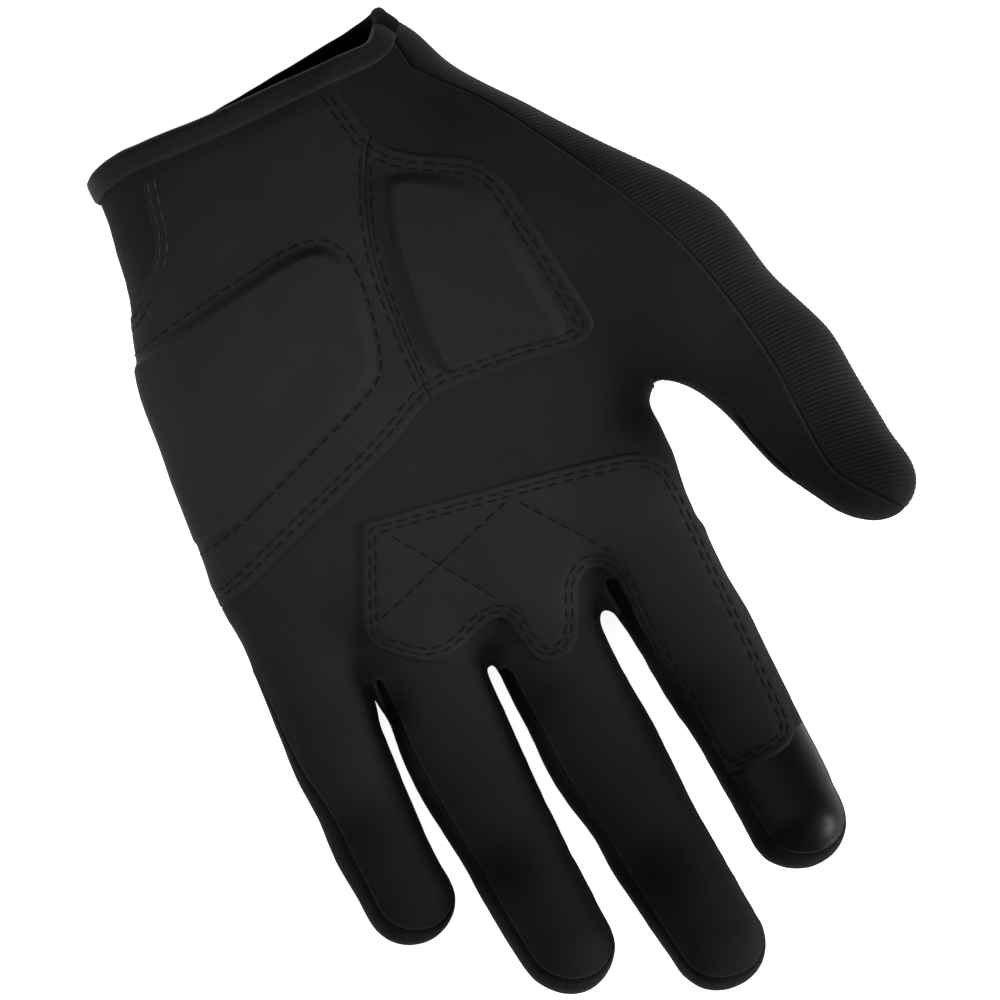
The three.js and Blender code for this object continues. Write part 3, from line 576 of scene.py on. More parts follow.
def split(skin, values, spacing=None):
    """Cuts every face along the zero line of values, or along each multiple of spacing."""
    snap = 0.04 if spacing is None else 0.015
    level = np.zeros(len(values)) if spacing is None else np.round(values / spacing) * spacing
    values = np.where(np.abs(values - level) < snap, level, values)
    faces = skin.faces
    at = values[faces]
    middle = (at.max(axis=1) + at.min(axis=1)) / 2
    level = np.zeros(len(faces)) if spacing is None else np.round(middle / spacing) * spacing
    at = at - level[:, None]
    crossed = (at.max(axis=1) > 0) & (at.min(axis=1) < 0)
    if not crossed.any():
        return skin, values
    cut_faces, at, level = faces[crossed], at[crossed], level[crossed]
    edges, ends = edges_of(cut_faces), edges_of(at)
    levels = np.tile(level, 3)
    through = ends[:, 0] * ends[:, 1] < 0
    edges, ends, levels = edges[through], ends[through], levels[through]
    count = len(skin.points)
    keys, first = np.unique(
        edges.min(axis=1).astype(np.int64) * count + edges.max(axis=1), return_index=True
    )
    a, b = edges[first].T
    t = ends[first, 0] / (ends[first, 0] - ends[first, 1])

    def between(value):
        share = t.reshape((-1,) + (1,) * (value.ndim - 1))
        return value[a] * (1 - share) + value[b] * share

    def new_point(p, q):
        key = np.minimum(p, q).astype(np.int64) * count + np.maximum(p, q)
        return count + np.searchsorted(keys, key)

    def turned_to(rows, first_corner):
        order = (first_corner[:, None] + np.arange(3)) % 3
        return np.take_along_axis(rows, order, axis=1).T

    sign = np.sign(at)
    made = [faces[~crossed]]
    touching = (sign == 0).any(axis=1)
    if touching.any():
        z, p, q = turned_to(cut_faces[touching], np.argmax(sign[touching] == 0, axis=1))
        m = new_point(p, q)
        made += [np.stack([z, p, m], axis=1), np.stack([z, m, q], axis=1)]
    if (~touching).any():
        other = sign[~touching]
        lone = np.argmax(other == -np.sign(other.sum(axis=1))[:, None], axis=1)
        p, m, n = turned_to(cut_faces[~touching], lone)
        pm, pn = new_point(p, m), new_point(p, n)
        made += [np.stack(face, axis=1) for face in ([p, pm, pn], [pm, m, n], [pm, n, pn])]
    result = Skin(
        np.concatenate([skin.points, between(skin.points)]),
        np.concatenate(made),
        np.concatenate([skin.normals, unit(between(skin.normals))]),
        {name: np.concatenate([value, between(value)]) for name, value in skin.data.items()},
    )
    return result, np.concatenate([values, levels[first]])


def cut(skin, values):
    """The two parts of a skin where values are negative and positive."""
    whole, values = split(skin, values)
    centre = values[whole.faces].sum(axis=1)
    return whole.keep(centre < 0), whole.keep(centre >= 0)


def lay(skin, name, levels):
    """Adds rows of points where a named value has each level."""
    for level in levels:
        skin, values = split(skin, skin.data[name] - level)
        skin.data[name] = values + level
    return skin


def borders(skin):
    """Directed edges that only one face uses."""
    edges = edges_of(skin.faces)
    count = len(skin.points)
    keys = edges[:, 0].astype(np.int64) * count + edges[:, 1]
    other = edges[:, 1].astype(np.int64) * count + edges[:, 0]
    return edges[~np.isin(keys, other)]


def flooded(links, count):
    """A label for each point, the same for all points that the links join."""
    label = np.arange(count)
    while True:
        low = label[links].min(axis=1)
        new = label.copy()
        for k in range(links.shape[1]):
            np.minimum.at(new, links[:, k], low)
        new = new[new]
        if (new == label).all():
            return label
        label = new


def biggest(skin):
    """The largest connected part."""
    label = flooded(skin.faces, len(skin.points))[skin.faces[:, 0]]
    names, sizes = np.unique(label, return_counts=True)
    return skin.keep(label == names[np.argmax(sizes)])


def one_area(skin, value):
    """A value for a cut, with only the largest area above zero kept above it."""
    edges = edges_of(skin.faces)
    label = flooded(edges[(value[edges] > 0).all(axis=1)], len(value))
    largest = np.bincount(label[value > 0]).argmax()
    return np.where((value > 0) & (label != largest), -0.05, value)


def base_skin():
    grid = openvdb.FloatGrid(background=MARGIN)
    grid.copyFromArray(np.clip(FIELD, -MARGIN, MARGIN).astype(np.float32))
    points, quads = grid.convertToQuads(isovalue=0.0)
    points = points.astype(float) * VOXEL + LOW
    faces = np.concatenate([quads[:, [0, 1, 2]], quads[:, [0, 2, 3]]]).astype(np.int64)
    a, b, c = (points[faces[:, k]] for k in range(3))
    if np.einsum("ij,ij->i", a, np.cross(b, c)).sum() < 0:
        faces = faces[:, ::-1]
    edges = np.concatenate([quads[:, [k, (k + 1) % 4]] for k in range(4)])
    edges = np.unique(np.sort(edges, axis=1), axis=0)
    degree = np.bincount(edges.ravel(), minlength=len(points)).astype(float)[:, None]
    for _ in range(3):
        for _ in range(2):
            total = np.zeros_like(points)
            np.add.at(total, edges[:, 0], points[edges[:, 1]])
            np.add.at(total, edges[:, 1], points[edges[:, 0]])
            points = points + 0.5 * (total / degree - points)
        points = points - sample(FIELD, points)[:, None] * outward(points)
    low = points[:, 2] < LOWEST
    points[low, 2] = LOWEST + (points[low, 2] - LOWEST) * 0.15
    return Skin(points, faces, outward(points))


# Seam lines and areas in plan
FAR = 60.0
LINES = {
    "thumb_seam": rounded(THUMB_SEAM, False),
    "thumb_back": rounded(THUMB_BACK, False),
    "pad_edge": rounded(CUFF_TO_PADS + ROUND_THENAR[::-1] + PAD_CORNER + BELOW_HEEL, False, 7.0),
    "between": rounded(BETWEEN_PADS + PAD_CORNER + [(-0.046, 0.39)], False),
    "wrist_seam": rounded(WRIST_SEAM, False),
}
AREAS = {
    "pads": np.concatenate([LINES["pad_edge"], LINES["wrist_seam"]]),
    "wrist": np.concatenate([LINES["wrist_seam"], [(0.66 * PALM_WIDTH, -0.05 * GLOVE_LENGTH)]]),
    "heel_foam": rounded(HEEL_FOAM, True, 7.0),
    "thenar_foam": rounded(THENAR_FOAM, True, 5.0),
    "saddle": rounded(SADDLE, True),
}


def cuff_edge(points):
    """Distance past the cuff's edge; the palm side is cut back."""
    x, y, z = points.T
    half = PALM_ROWS[0][3] * PALM_DEPTH
    rise = np.clip((z - mid_height(y)) / half / 0.33, 0, 1)
    palm_edge, back_edge = (
        np.interp(x / PALM_WIDTH, *np.array(rows).T) * GLOVE_LENGTH for rows in (CUFF_PALM, CUFF_BACK)
    )
    return y - palm_edge * rise - back_edge * (1 - rise)


def thumb_height(points):
    """Height above the thumb's middle surface."""
    rows = [(y, z) for _, y, z in THUMB_POINTS]
    return points[:, 2] - curve(rows, points[:, 1])


def thumb_mid(points):
    """Height above the seam on the thumb's inner side, which shows beside the thumb crotch."""
    lip = sum(rise * ease(points[:, 1], low, high) for low, high, rise in THUMB_LIP)
    return thumb_height(points) - lip


def line_side(skin, name):
    distance, side = measure(skin.plan(), LINES[name])
    return distance * side


def ribbed_area(skin):
    """Negative on the thumb's back and outer side."""
    left_of_back = line_side(skin, "thumb_back")
    left_of_seam = line_side(skin, "thumb_seam")
    return np.maximum(left_of_back, np.minimum(left_of_seam, thumb_mid(skin.points)))


def strip_start(points):
    """How much of the side strips there is: they start at each web, on the outer sides earlier."""
    x, y = points[:, 0], points[:, 1]
    grown = ease(y, 0.46 * GLOVE_LENGTH, 0.56 * GLOVE_LENGTH)
    for (left, right), start in zip(zip(FINGERS, FINGERS[1:]), WEB_STARTS):
        within = (x > spine_x(left, y)) & (x < spine_x(right, y))
        grown = np.where(within, ease(y, start, start + 7), grown)
    return grown


def near_web(points, length):
    """One at each web, down to nothing over a length along the fingers."""
    x, y = points[:, 0], points[:, 1]
    near = np.zeros(len(points))
    for (left, right), end in zip(zip(FINGERS, FINGERS[1:]), WEB_ENDS):
        low, high = spine_x(left, y), spine_x(right, y)
        beside = 1 - ease(np.abs(x - (low + high) / 2) / (high - low), 0.25, 0.42)
        near = np.maximum(near, beside * (1 - ease(y, end, end + length)))
    return near


def nearest_finger(points):
    """The nearest finger's number at each point, and its middle line there."""
    x, y = points[:, 0], points[:, 1]
    centres = np.stack([spine_x(name, y) for name in FINGERS])
    nearest = np.abs(centres - x).argmin(axis=0)
    return nearest, np.take_along_axis(centres, nearest[None], axis=0)[0]


def seam_height(points):
    """How far the seams' middle lies above the middle surface; it leans to the little finger."""
    x, y = points[:, 0], points[:, 1]
    outer = x > spine_x("little", y)
    lean = np.where(outer, ease(y, 118.0, 148.0), strip_start(points))
    off = np.clip(x - nearest_finger(points)[1], -12, 12)
    crossing = np.where(outer, 0, ease(off, 9.5, 12.5)) * near_web(points, 5)
    return STRIP_TILT * lean * off * (1 - 2 * crossing)


def tip_rise(points):
    """The side fabric comes up round each fingertip."""
    own = np.array([REACH[name] for name in FINGERS])[nearest_finger(points)[0]]
    return 0.2 * ease(points[:, 1] - own, -12.0, -3.0)


def over_middle(skin):
    """Height above the middle surface, and half the side strips' height there."""
    half = STRIP_HEIGHT / 2 * strip_start(skin.points)
    return skin.points[:, 2] - mid_height(skin.points[:, 1]), half


def front_side(skin):
    """Positive on the palm side of the hand and fingers."""
    height, half = over_middle(skin)
    over = height - half - seam_height(skin.points) - tip_rise(skin.points)
    return np.maximum(over, -line_side(skin, "thumb_back"))


def back_side(skin):
    """Positive on the back."""
    height, half = over_middle(skin)
    return -(height + half - 0.5 * seam_height(skin.points))


def gap_x(order, y):
    """Where the gap after a finger lies across the hand; wider fingers push it away."""
    low, high = spine_x(FINGERS[order], y), spine_x(FINGERS[order + 1], y)
    return low + GAP_SHARES[order] * (high - low)


def finger_zone(points, name):
    """Negative on the moving stretch of a finger."""
    x, y = points[:, 0], points[:, 1]
    order = FINGERS.index(name)
    left = -52.0 if order == 0 else gap_x(order - 1, y)
    right = FAR * 2 if order == 3 else gap_x(order, y)
    return np.maximum(STILL[name] - y, np.maximum(left - x, x - right))


def thumb_frame():
    spine = SPINE_OF["thumb"]
    at = spine.length - THUMB_END
    forward = read_along([at], spine.at, spine.forward)[0]
    return read_along([at], spine.at, spine.centres)[0], forward / np.linalg.norm(forward)


THUMB_HINGE, THUMB_FORWARD = thumb_frame()


def thumb_zone(points):
    """Negative on the moving stretch of the thumb."""
    before = -(points - THUMB_HINGE) @ THUMB_FORWARD - THUMB_BEND
    return np.maximum(before, points[:, 0] + 50)


# Shaping panels
def border_distance(skin):
    """Distance of each point to the skin's own border."""
    border = borders(skin)
    a, b = skin.points[border[:, 0]], skin.points[border[:, 1]]
    spots = np.concatenate([a * (1 - t) + b * t for t in (0, 0.25, 0.5, 0.75)])
    tree = KDTree(len(spots))
    for i, spot in enumerate(spots):
        tree.insert(spot, i)
    tree.balance()
    return np.array([tree.find(point)[2] for point in skin.points])


def shaded(skin):
    """The same skin with its normals taken from its own faces."""
    corners = [skin.points[skin.faces[:, k]] for k in range(3)]
    face = np.cross(corners[1] - corners[0], corners[2] - corners[0])
    face /= np.maximum(np.linalg.norm(face, axis=1), 1e-12)[:, None]
    total = np.zeros_like(skin.points)
    for k in range(3):
        p = corners[(k + 1) % 3] - corners[k]
        q = corners[(k + 2) % 3] - corners[k]
        size = np.linalg.norm(p, axis=1) * np.linalg.norm(q, axis=1)
        angle = np.arccos(np.clip((p * q).sum(axis=1) / np.maximum(size, 1e-12), -1, 1))
        np.add.at(total, skin.faces[:, k], face * angle[:, None])
    length = np.linalg.norm(total, axis=1)[:, None]
    normals = np.where(length > 1e-9, total / np.maximum(length, 1e-9), skin.normals)
    return Skin(skin.points, skin.faces, normals, skin.data)


def raised(skin, height):
    """The skin moved out along its normals, and shaded anew."""
    points = skin.points + skin.normals * height[:, None]
    return shaded(Skin(points, skin.faces, skin.normals, skin.data))


def folded_under(skin):
    """Adds a turned edge that goes in from the border."""
    border = borders(skin)
    rim, back = np.unique(border, return_inverse=True)
    rows = back.reshape(border.shape) + len(skin.points)
    a, b = border.T
    c, d = rows.T
    walls = np.concatenate([np.stack([b, a, c], axis=1), np.stack([b, c, d], axis=1)])
    return Skin(
        np.concatenate([skin.points, skin.points[rim] - skin.normals[rim] * TURNED_EDGE]),
        np.concatenate([skin.faces, walls]),
        np.concatenate([skin.normals, skin.normals[rim]]),
        {name: np.concatenate([value, value[rim]]) for name, value in skin.data.items()},
    )


def roll(distance, drop, width):
    """How far a panel's edge rolls down at a distance from it."""
    return -drop * np.clip(1 - distance / width, 0, 1) ** 2


def groove(distance, at):
    """Stitches draw the fabric in along their row."""
    return -GROOVE_DEPTH * np.exp(-((distance - at) / GROOVE_WIDTH) ** 2)


def pucker(skin, distance, size=0.12):
    """Small gathers in fabric beside a seam."""
    return size * np.exp(-distance / 4.0) * noise3(skin.points, 5.5, 3)


def wobble(points):
    return 0.22 * noise3(points, 42, 1) + 0.1 * noise3(points, 17, 2)


def near_row(levels):
    """Levels for the rows of points in and beside each stitch row."""
    return [level + step for level in levels for step in (-ROW_STEP, 0, ROW_STEP)]


def foam_bulge(skin, name):
    return FOAM_RISE * ease(-skin.data[name], -0.3, FOAM_SLOPE) * ease(skin.data["rim"], 1.0, 9.0)


def under_tape(skin):
    """Layers lie flat where the tape holds them."""
    return ease(skin.data["cuff"], BINDING_WIDTH - 2.0, BINDING_WIDTH + 3.5)


def pad_cover(skin, foam):
    """A pad panel: it lies on the palm panel, and its foam fills it out."""
    skin = lay(skin, "pad_edge", EDGE_ROWS + near_row(PAD_ROWS))
    skin = lay(skin, "wrist_seam", EDGE_ROWS + near_row(WRIST_ROWS))
    skin = lay(skin, "between", [0.25, 0.6] + near_row([SEAM_ROW]))
    slope = [-0.5 * FOAM_SLOPE, -0.8 * FOAM_SLOPE, -FOAM_SLOPE, -FOAM_SLOPE - 0.6]
    skin = lay(skin, foam, [FOAM_ROW, 0.3, -0.4] + slope)
    skin = lay(skin, "rim", RIM_ROWS)
    edge, wrist_edge, between = (skin.data[name] for name in ("pad_edge", "wrist_seam", "between"))
    lift = OVERLAY_LIFT * (0.35 + 0.65 * ease(skin.data["rim"], 0, 6.0)) * under_tape(skin)
    height = lift * ease(edge, 0, 0.45) * ease(wrist_edge, 0, 0.45) + roll(between, 0.35, 0.6)
    height += roll(skin.data["rim"], 0.5, 1.3) + foam_bulge(skin, foam)
    for row in PAD_ROWS:
        height += groove(edge, row)
    for row in WRIST_ROWS:
        height += groove(wrist_edge, row)
    height += groove(between, SEAM_ROW) * ease(edge, 3.4, 3.9)
    near = np.minimum(np.minimum(edge, wrist_edge), between)
    height += pucker(skin, near) * ease(near, 0.2, 1.5)
    return folded_under(raised(skin, height))


def saddle_cover(skin):
    """The layer under the fingers, with crossed rows of stitches."""
    skin.data["inner"] = -skin.data["saddle"]
    skin = lay(skin, "inner", EDGE_ROWS + near_row(SADDLE_ROWS))
    for name, (start, end) in CROSSED_ROWS.items():
        ahead = np.subtract(end, start) / np.linalg.norm(np.subtract(end, start))
        skin.data[name] = (skin.plan() - start) @ (-ahead[1], ahead[0])
        skin.data[name + "_along"] = (skin.plan() - start) @ ahead
        skin = lay(skin, name, near_row([0.0]))
    skin = lay(skin, "rim", RIM_ROWS)
    inner = skin.data["inner"]
    height = OVERLAY_LIFT * ease(inner, 0, 0.5) + roll(skin.data["rim"], 0.6, 1.3)
    for row in SADDLE_ROWS:
        height += groove(inner, row)
    for name, (start, end) in CROSSED_ROWS.items():
        along = skin.data[name + "_along"]
        length = np.linalg.norm(np.subtract(end, start))
        within = ease(along, -0.5, 0.5) * ease(along, length + 0.5, length - 0.5)
        height += groove(skin.data[name], 0) * within * ease(inner, 2.5, 3.5)
    height += pucker(skin, inner) * ease(inner, 0.2, 1.5)
    return folded_under(raised(skin, height))


def top_panel(skin):
    """A panel whose edge lies over its neighbours: a thin ridge, then a steep end."""
    skin = lay(skin, "rim", [0.12, 0.3, 0.6, 1.0, 1.6])
    rim = skin.data["rim"]
    ridge = 0.16 * np.exp(-((rim - 0.55) / 0.35) ** 2) - 0.5 * np.clip(1 - rim / 0.35, 0, 1) ** 2
    height = ridge * under_tape(skin) + pucker(skin, rim, 0.1) * ease(rim, 0.2, 1.5)
    return folded_under(raised(skin, height))


def plain_panel(skin, drop=0.55, width=1.3):
    """A panel whose edge rolls down into the seam."""
    if "rim" not in skin.data:
        skin.data["rim"] = border_distance(skin)
    skin = lay(skin, "rim", [0.25, 0.7, width])
    height = roll(skin.data["rim"], drop, width) + pucker(skin, skin.data["rim"], 0.1)
    return folded_under(raised(skin, height))


def rib_phase(points):
    """The ribs run nearly level, turn a little toward the thumb's tip, and bow over its side."""
    x, y = points[:, 0], points[:, 1]
    slant = 0.07 - 0.3 * ease(y, 85.0, 140.0)
    return (y - slant * (x + 72) + 0.2 * np.maximum(thumb_height(points), -4)) / RIB_PITCH


def ribbed_panel(skin):
    """The thumb's back: fine ribs, and a slot along the seam beside the thumb crotch."""
    skin.data["rim"] = border_distance(skin)
    skin = lay(skin, "rim", [0.3, 0.8, 1.6])
    for spacing, offset in RIB_CUTS:
        skin, _ = split(skin, rib_phase(skin.data["rest"]) + offset, spacing)
    rim = skin.data["rim"]
    phase = rib_phase(skin.data["rest"])
    fade = ease(rim, 0.3, 1.2) * ease(skin.data["rest"][:, 1], *RIBS_RISE)
    valley = (0.5 - 0.5 * np.cos(2 * math.pi * phase)) ** 2 * fade
    x, y = skin.points[:, 0], skin.points[:, 1]
    over = thumb_height(skin.points)
    inner = ease(x, -69, -65) * ease(over, -3, 0) * ease(y, 88, 93)
    slot = inner * ease(y, 90, 95) * (1 - ease(y, 107, 112))
    # Painted shade in the ribs' colour: darker in the rib valleys, on the thumb's inner side past the
    # slot, low by the cuff, in the slot's rim and up the stretch from the cuff
    painted_dark = [
        inner * ease(y, 107, 111), (1 - ease(y, 12, 15)) * (1 - ease(over, 7, 11)),
        slot * (1 - ease(rim, 0.35, 0.75)), 0.6 * (1 - ease(y, *RIBS_PAINTED_SHADE)),
    ]
    skin.data["rib"] = (1 - 0.7 * valley) * (1 - np.max(painted_dark, axis=0))
    height = roll(rim, 0.5, 1.2) + roll(rim, 1.0, 0.75) * slot - RIB_DEPTH * valley * (1 - inner)
    return folded_under(raised(skin, height))


def gathered(skin):
    """The elastic stretch behind the cuff, drawn in so that its fabric stands in small folds."""
    skin.data["rim"] = border_distance(skin)
    for spacing, offset in ((2.0, 0.0), (2.0, 1.0), (1.0, 0.5)):
        skin, _ = split(skin, skin.points[:, 0] / 1.6 + offset, spacing)
    folds = np.cos(2 * math.pi * skin.points[:, 0] / 3.2 + 0.8 * noise3(skin.points, 20, 5))
    return folded_under(raised(skin, 0.45 * folds * ease(skin.data["rim"], 0.0, 2.5)))


def sculpted(skin):
    """Moves the skin out or in at places where the sewn form differs from the plain sweep."""
    def near(x, y, reach):
        away = (skin.points[:, 0] - x) ** 2 + (skin.points[:, 1] - y) ** 2
        return np.exp(-away / reach ** 2)

    facing = np.clip(skin.normals[:, 2] * 1.5, 0, 1)
    height = wobble(skin.points) + facing * sum(amount * near(x, y, r) for x, y, r, amount in DENTS)
    side = sum(amount * near(x, y, EDGE_REACH) for x, y, amount in EDGE_MOVES)
    move = skin.normals * height[:, None] + skin.normals * (1, 1, 0) * side[:, None]
    return shaded(Skin(skin.points + move, skin.faces, skin.normals))


glove = sculpted(base_skin())
glove.data["rest"] = glove.points.copy()
glove.data["cuff"] = cuff_edge(glove.points)
_, glove = cut(glove, glove.data["cuff"])
ribbed, cloth = cut(glove, -one_area(glove, -ribbed_area(glove)))
lower, front = cut(cloth, one_area(cloth, front_side(cloth)))
sides, back = cut(lower, one_area(lower, back_side(lower)))

for name, area in AREAS.items():
    front.data[name] = inside(front.plan(), area)
front.data["rim"] = border_distance(front)
between, side = measure(front.plan(), LINES["between"])
front.data["thenar_side"] = -between * side

saddle, palm = cut(front, front.data["saddle"])
pads, palm = cut(palm, palm.data["pads"])
wrist, palm = cut(palm, palm.data["wrist"])
heel, thenar = cut(pads, pads.data["thenar_side"])
for pad in (heel, thenar):
    for name in ("pad_edge", "wrist_seam", "between"):
        pad.data[name] = measure(pad.plan(), LINES[name])[0]
heel = pad_cover(heel, "heel_foam")
thenar = pad_cover(thenar, "thenar_foam")
saddle = saddle_cover(saddle)
wrist = plain_panel(wrist)
palm = top_panel(palm)
beside = np.abs(back.points[:, 0]) - ELASTIC_WIDTH / 2
elastic, back = cut(back, np.maximum(beside, back.points[:, 1] - ELASTIC_LENGTH))
elastic = gathered(elastic)
back = plain_panel(back)
sides = plain_panel(sides, drop=0.8, width=1.4)
ribbed = ribbed_panel(ribbed)


# The moving part of each finger and the thumb, and the part of the hand that keeps still
def parted(skin, name):
    zone = thumb_zone(skin.points) if name == "thumb" else finger_zone(skin.points, name)
    return cut(skin, zone)


moving = {}
for name in FINGERS:
    moving[name + "_front"], palm = parted(palm, name)
    moving[name + "_side"], sides = parted(sides, name)
    moving[name + "_back"], back = parted(back, name)
whole_saddle = saddle
moving["index_layer"], saddle = parted(saddle, "index")
moving["thumb_front"], palm = parted(palm, "thumb")
moving["thumb_back"], ribbed = parted(ribbed, "thumb")
moving["index_front"], moving["index_tip"] = cut(
    moving["index_front"], moving["index_front"].points[:, 1] - TIP_LINE
)
still_sides = []
for name in FINGERS:
    part, sides = cut(sides, sides.points[:, 0] - spine_x(name, sides.points[:, 1]))
    still_sides.insert(0, part)
still_sides.insert(0, sides)


# Stitches
def row_paths(skin, name, level, chosen):
    """The lines of chosen points where a named value has a level, in order."""
    on = (np.abs(skin.data[name] - level) < 1e-6) & chosen
    edges = edges_of(skin.faces)
    edges = np.unique(np.sort(edges[on[edges].all(axis=1)], axis=1), axis=0)
    near = {}
    for a, b in edges.tolist():
        near.setdefault(a, []).append(b)
        near.setdefault(b, []).append(a)
    seen = set()
    paths = []
    for start in sorted(near, key=lambda point: (len(near[point]) != 1, point)):
        if start in seen:
            continue
        path = [start]
        seen.add(start)
        while True:
            ahead = [point for point in near[path[-1]] if point not in seen]
            if not ahead:
                break
            path.append(ahead[0])
            seen.add(ahead[0])
        if len(path) > 3:
            paths.append(np.array(path))
    return paths


def sewn(skin, name, level, chosen):
    """A line and its way up for each stitch of the rows at a level."""
    made = []
    for path in row_paths(skin, name, level, chosen):
        points, normals = skin.points[path], skin.normals[path]
        gone = gone_by(points)
        count = int(gone[-1] // STITCH_PITCH)
        spare = (gone[-1] - count * STITCH_PITCH) / 2
        for k in range(count):
            start = spare + k * STITCH_PITCH + (STITCH_PITCH - STITCH_LENGTH) / 2
            at = start + STITCH_LENGTH * STITCH_AT
            made.append((read_along(at, gone, points), read_along(at, gone, normals)))
    return made


def capsule_faces():
    """The faces of one stitch: walls between its rings, and a fan at each end."""
    faces = []
    last = (len(STITCH_AT) - 1) * STITCH_ROUND
    for ring in range(0, last, STITCH_ROUND):
        for j in range(STITCH_ROUND):
            a, b = ring + j, ring + (j + 1) % STITCH_ROUND
            faces += [(a, b + STITCH_ROUND, b), (a, a + STITCH_ROUND, b + STITCH_ROUND)]
    for j in range(1, STITCH_ROUND - 1):
        faces += [(0, j, j + 1), (last, last + 1 + j, last + j)]
    return np.array(faces)


CAPSULE = capsule_faces()
CAPSULE_POINTS = len(STITCH_AT) * STITCH_ROUND


def threads(made):
    """One capsule of thread for each stitch."""
    turn = np.arange(STITCH_ROUND)[None, :, None] * math.pi / (STITCH_ROUND / 2)
    points, normals = [], []
    for line, up in made:
        ahead = unit(np.gradient(line, axis=0))
        across = unit(np.cross(ahead, up))
        over = np.cross(across, ahead)
        out = across[:, None] * np.cos(turn) + over[:, None] * np.sin(turn)
        centre = line + over * STITCH_LIFT[:, None]
        points.append((centre[:, None] + out * STITCH_THICK[:, None, None]).reshape(-1, 3))
        normals.append(out.reshape(-1, 3))
    points = np.concatenate(points)
    faces = CAPSULE + CAPSULE_POINTS * np.arange(len(made))[:, None, None]
    return Skin(points, faces.reshape(-1, 3), np.concatenate(normals), {"rest": points.copy()})


def joined(a, b):
    return Skin(
        np.concatenate([a.points, b.points]),
        np.concatenate([a.faces, b.faces + len(a.points)]),
        np.concatenate([a.normals, b.normals]),
        {"rest": np.concatenate([a.data["rest"], b.data["rest"]])},
    )


pad_stitches = []
for pad in (heel, thenar):
    edge, wrist_edge = pad.data["pad_edge"], pad.data["wrist_seam"]
    away = (pad.data["rim"] > 1.0) & (pad.data["cuff"] > BINDING_WIDTH + 0.8)
    for row in PAD_ROWS:
        pad_stitches += sewn(pad, "pad_edge", row, away & (wrist_edge > 3))
    for row in WRIST_ROWS:
        pad_stitches += sewn(pad, "wrist_seam", row, away & (edge > 4))
    pad_stitches += sewn(pad, "between", SEAM_ROW, away & (edge > 3.6))
around = np.minimum(heel.data["pad_edge"] - PAD_ROWS[-1], heel.data["between"] - SEAM_ROW) > 0.8
pad_stitches += sewn(heel, "heel_foam", FOAM_ROW, around & (heel.data["rim"] > 1.0))

saddle_stitches = []
for row in SADDLE_ROWS:
    saddle_stitches += sewn(whole_saddle, "inner", row, whole_saddle.data["rim"] > 0.8)
for name, (start, end) in CROSSED_ROWS.items():
    along = whole_saddle.data[name + "_along"]
    reach = np.linalg.norm(np.subtract(end, start))
    within = (along > 0) & (along < reach) & (whole_saddle.data["inner"] > SADDLE_ROWS[-1])
    saddle_stitches += sewn(whole_saddle, name, 0.0, within)
saddle_threads = threads(saddle_stitches)
middle = saddle_threads.points.reshape(-1, CAPSULE_POINTS, 3).mean(axis=1)
moves = np.repeat(finger_zone(middle, "index") < 0, len(CAPSULE))
index_threads = saddle_threads.keep(moves)
hand_threads = joined(threads(pad_stitches), saddle_threads.keep(~moves))


# The tape over the cuff's edge, and the lining that shows in the opening
def edge_loop(skin):
    """The border at the cuff, in order."""
    border = borders(skin)
    ahead = dict(border.tolist())
    start = border[0, 0]
    path = [start]
    while ahead[path[-1]] != start:
        path.append(ahead[path[-1]])
    return skin.points[path]


def evenly(points, spacing):
    """A closed line's points moved to even spacing, a little smoothed."""
    closed = np.concatenate([points, points[:1]])
    gone = gone_by(closed)
    count = int(gone[-1] / spacing)
    line = read_along(np.arange(count) * gone[-1] / count, gone, closed)
    for _ in range(2):
        line = (np.roll(line, 1, axis=0) + 2 * line + np.roll(line, -1, axis=0)) / 4
    return line


def on_form(points):
    for _ in range(2):
        points = points - sample(FIELD, points)[:, None] * outward(points)
    points[:, 2] = np.maximum(points[:, 2], LOWEST)
    return points


def tape_section():
    """The folded tape's section, from its outer edge to its inner one: how far in and out."""
    width, top, inner = BINDING_WIDTH, BINDING_THICKNESS, -WALL - 0.9
    centre, bow = (top + inner) / 2, (top - inner) / 2
    rows = [(width, 0.05), (width - 0.15, top * 0.7), (width - 0.5, top)]
    for share in (0.66, 0.42, 0.2, 0):
        rows.append((width * share, top + 0.06 * math.sin(math.pi * share)))
    half = len(rows) + 3
    turns = np.linspace(0, math.pi, 7)[1:]
    rows += [(-bow * 0.8 * math.sin(turn), centre + bow * math.cos(turn)) for turn in turns]
    return rows + [(width * share, inner) for share in (0.4, 0.8, 1.0)], half


def cuff_tape(skin):
    """The outer and the inner half of the tape folded over the cuff's edge."""
    loop = on_form(evenly(edge_loop(skin), 0.9))
    inward = np.cross(outward(loop), unit(np.roll(loop, -1, axis=0) - np.roll(loop, 1, axis=0)))
    if inward[:, 1].mean() < 0:
        inward = -inward
    section, half = tape_section()
    rows = []
    for into, out in section:
        spot = loop + inward * into
        if into > 0:
            spot = on_form(spot)
        rows.append(spot + outward(spot) * out)
    count, width = len(loop), len(rows)
    points = np.stack(rows, axis=1).reshape(-1, 3)
    faces = []
    for i in range(count):
        for j in range(width - 1):
            a, b = i * width + j, ((i + 1) % count) * width + j
            faces += [(a, a + 1, b + 1), (a, b + 1, b)]
    faces = np.array(faces)
    level = np.tile([0.0, 0, 1], (len(points), 1))
    tape = shaded(Skin(points, faces, level, {"rest": points.copy()}))
    if (tape.normals[2::width] * outward(loop)).sum() < 0:
        tape = shaded(Skin(points, faces[:, ::-1], tape.normals, tape.data))
    tape = raised(tape, 0.07 * noise3(points, 6, 8) + 0.1 * noise3(points, 25, 9))
    outside = (tape.faces % width <= half).all(axis=1)
    return tape.keep(outside), tape.keep(~outside)


tape, inner_tape = cuff_tape(glove)
# The back half of the outer tape is cut off and drawn near black: painted shade
rise = np.where(tape.points[:, 0] < 0, TAPE_RISE, 0.0)
over = tape.points[:, 2] - mid_height(tape.points[:, 1]) - rise
back_tape_painted_shade, tape = cut(tape, over)


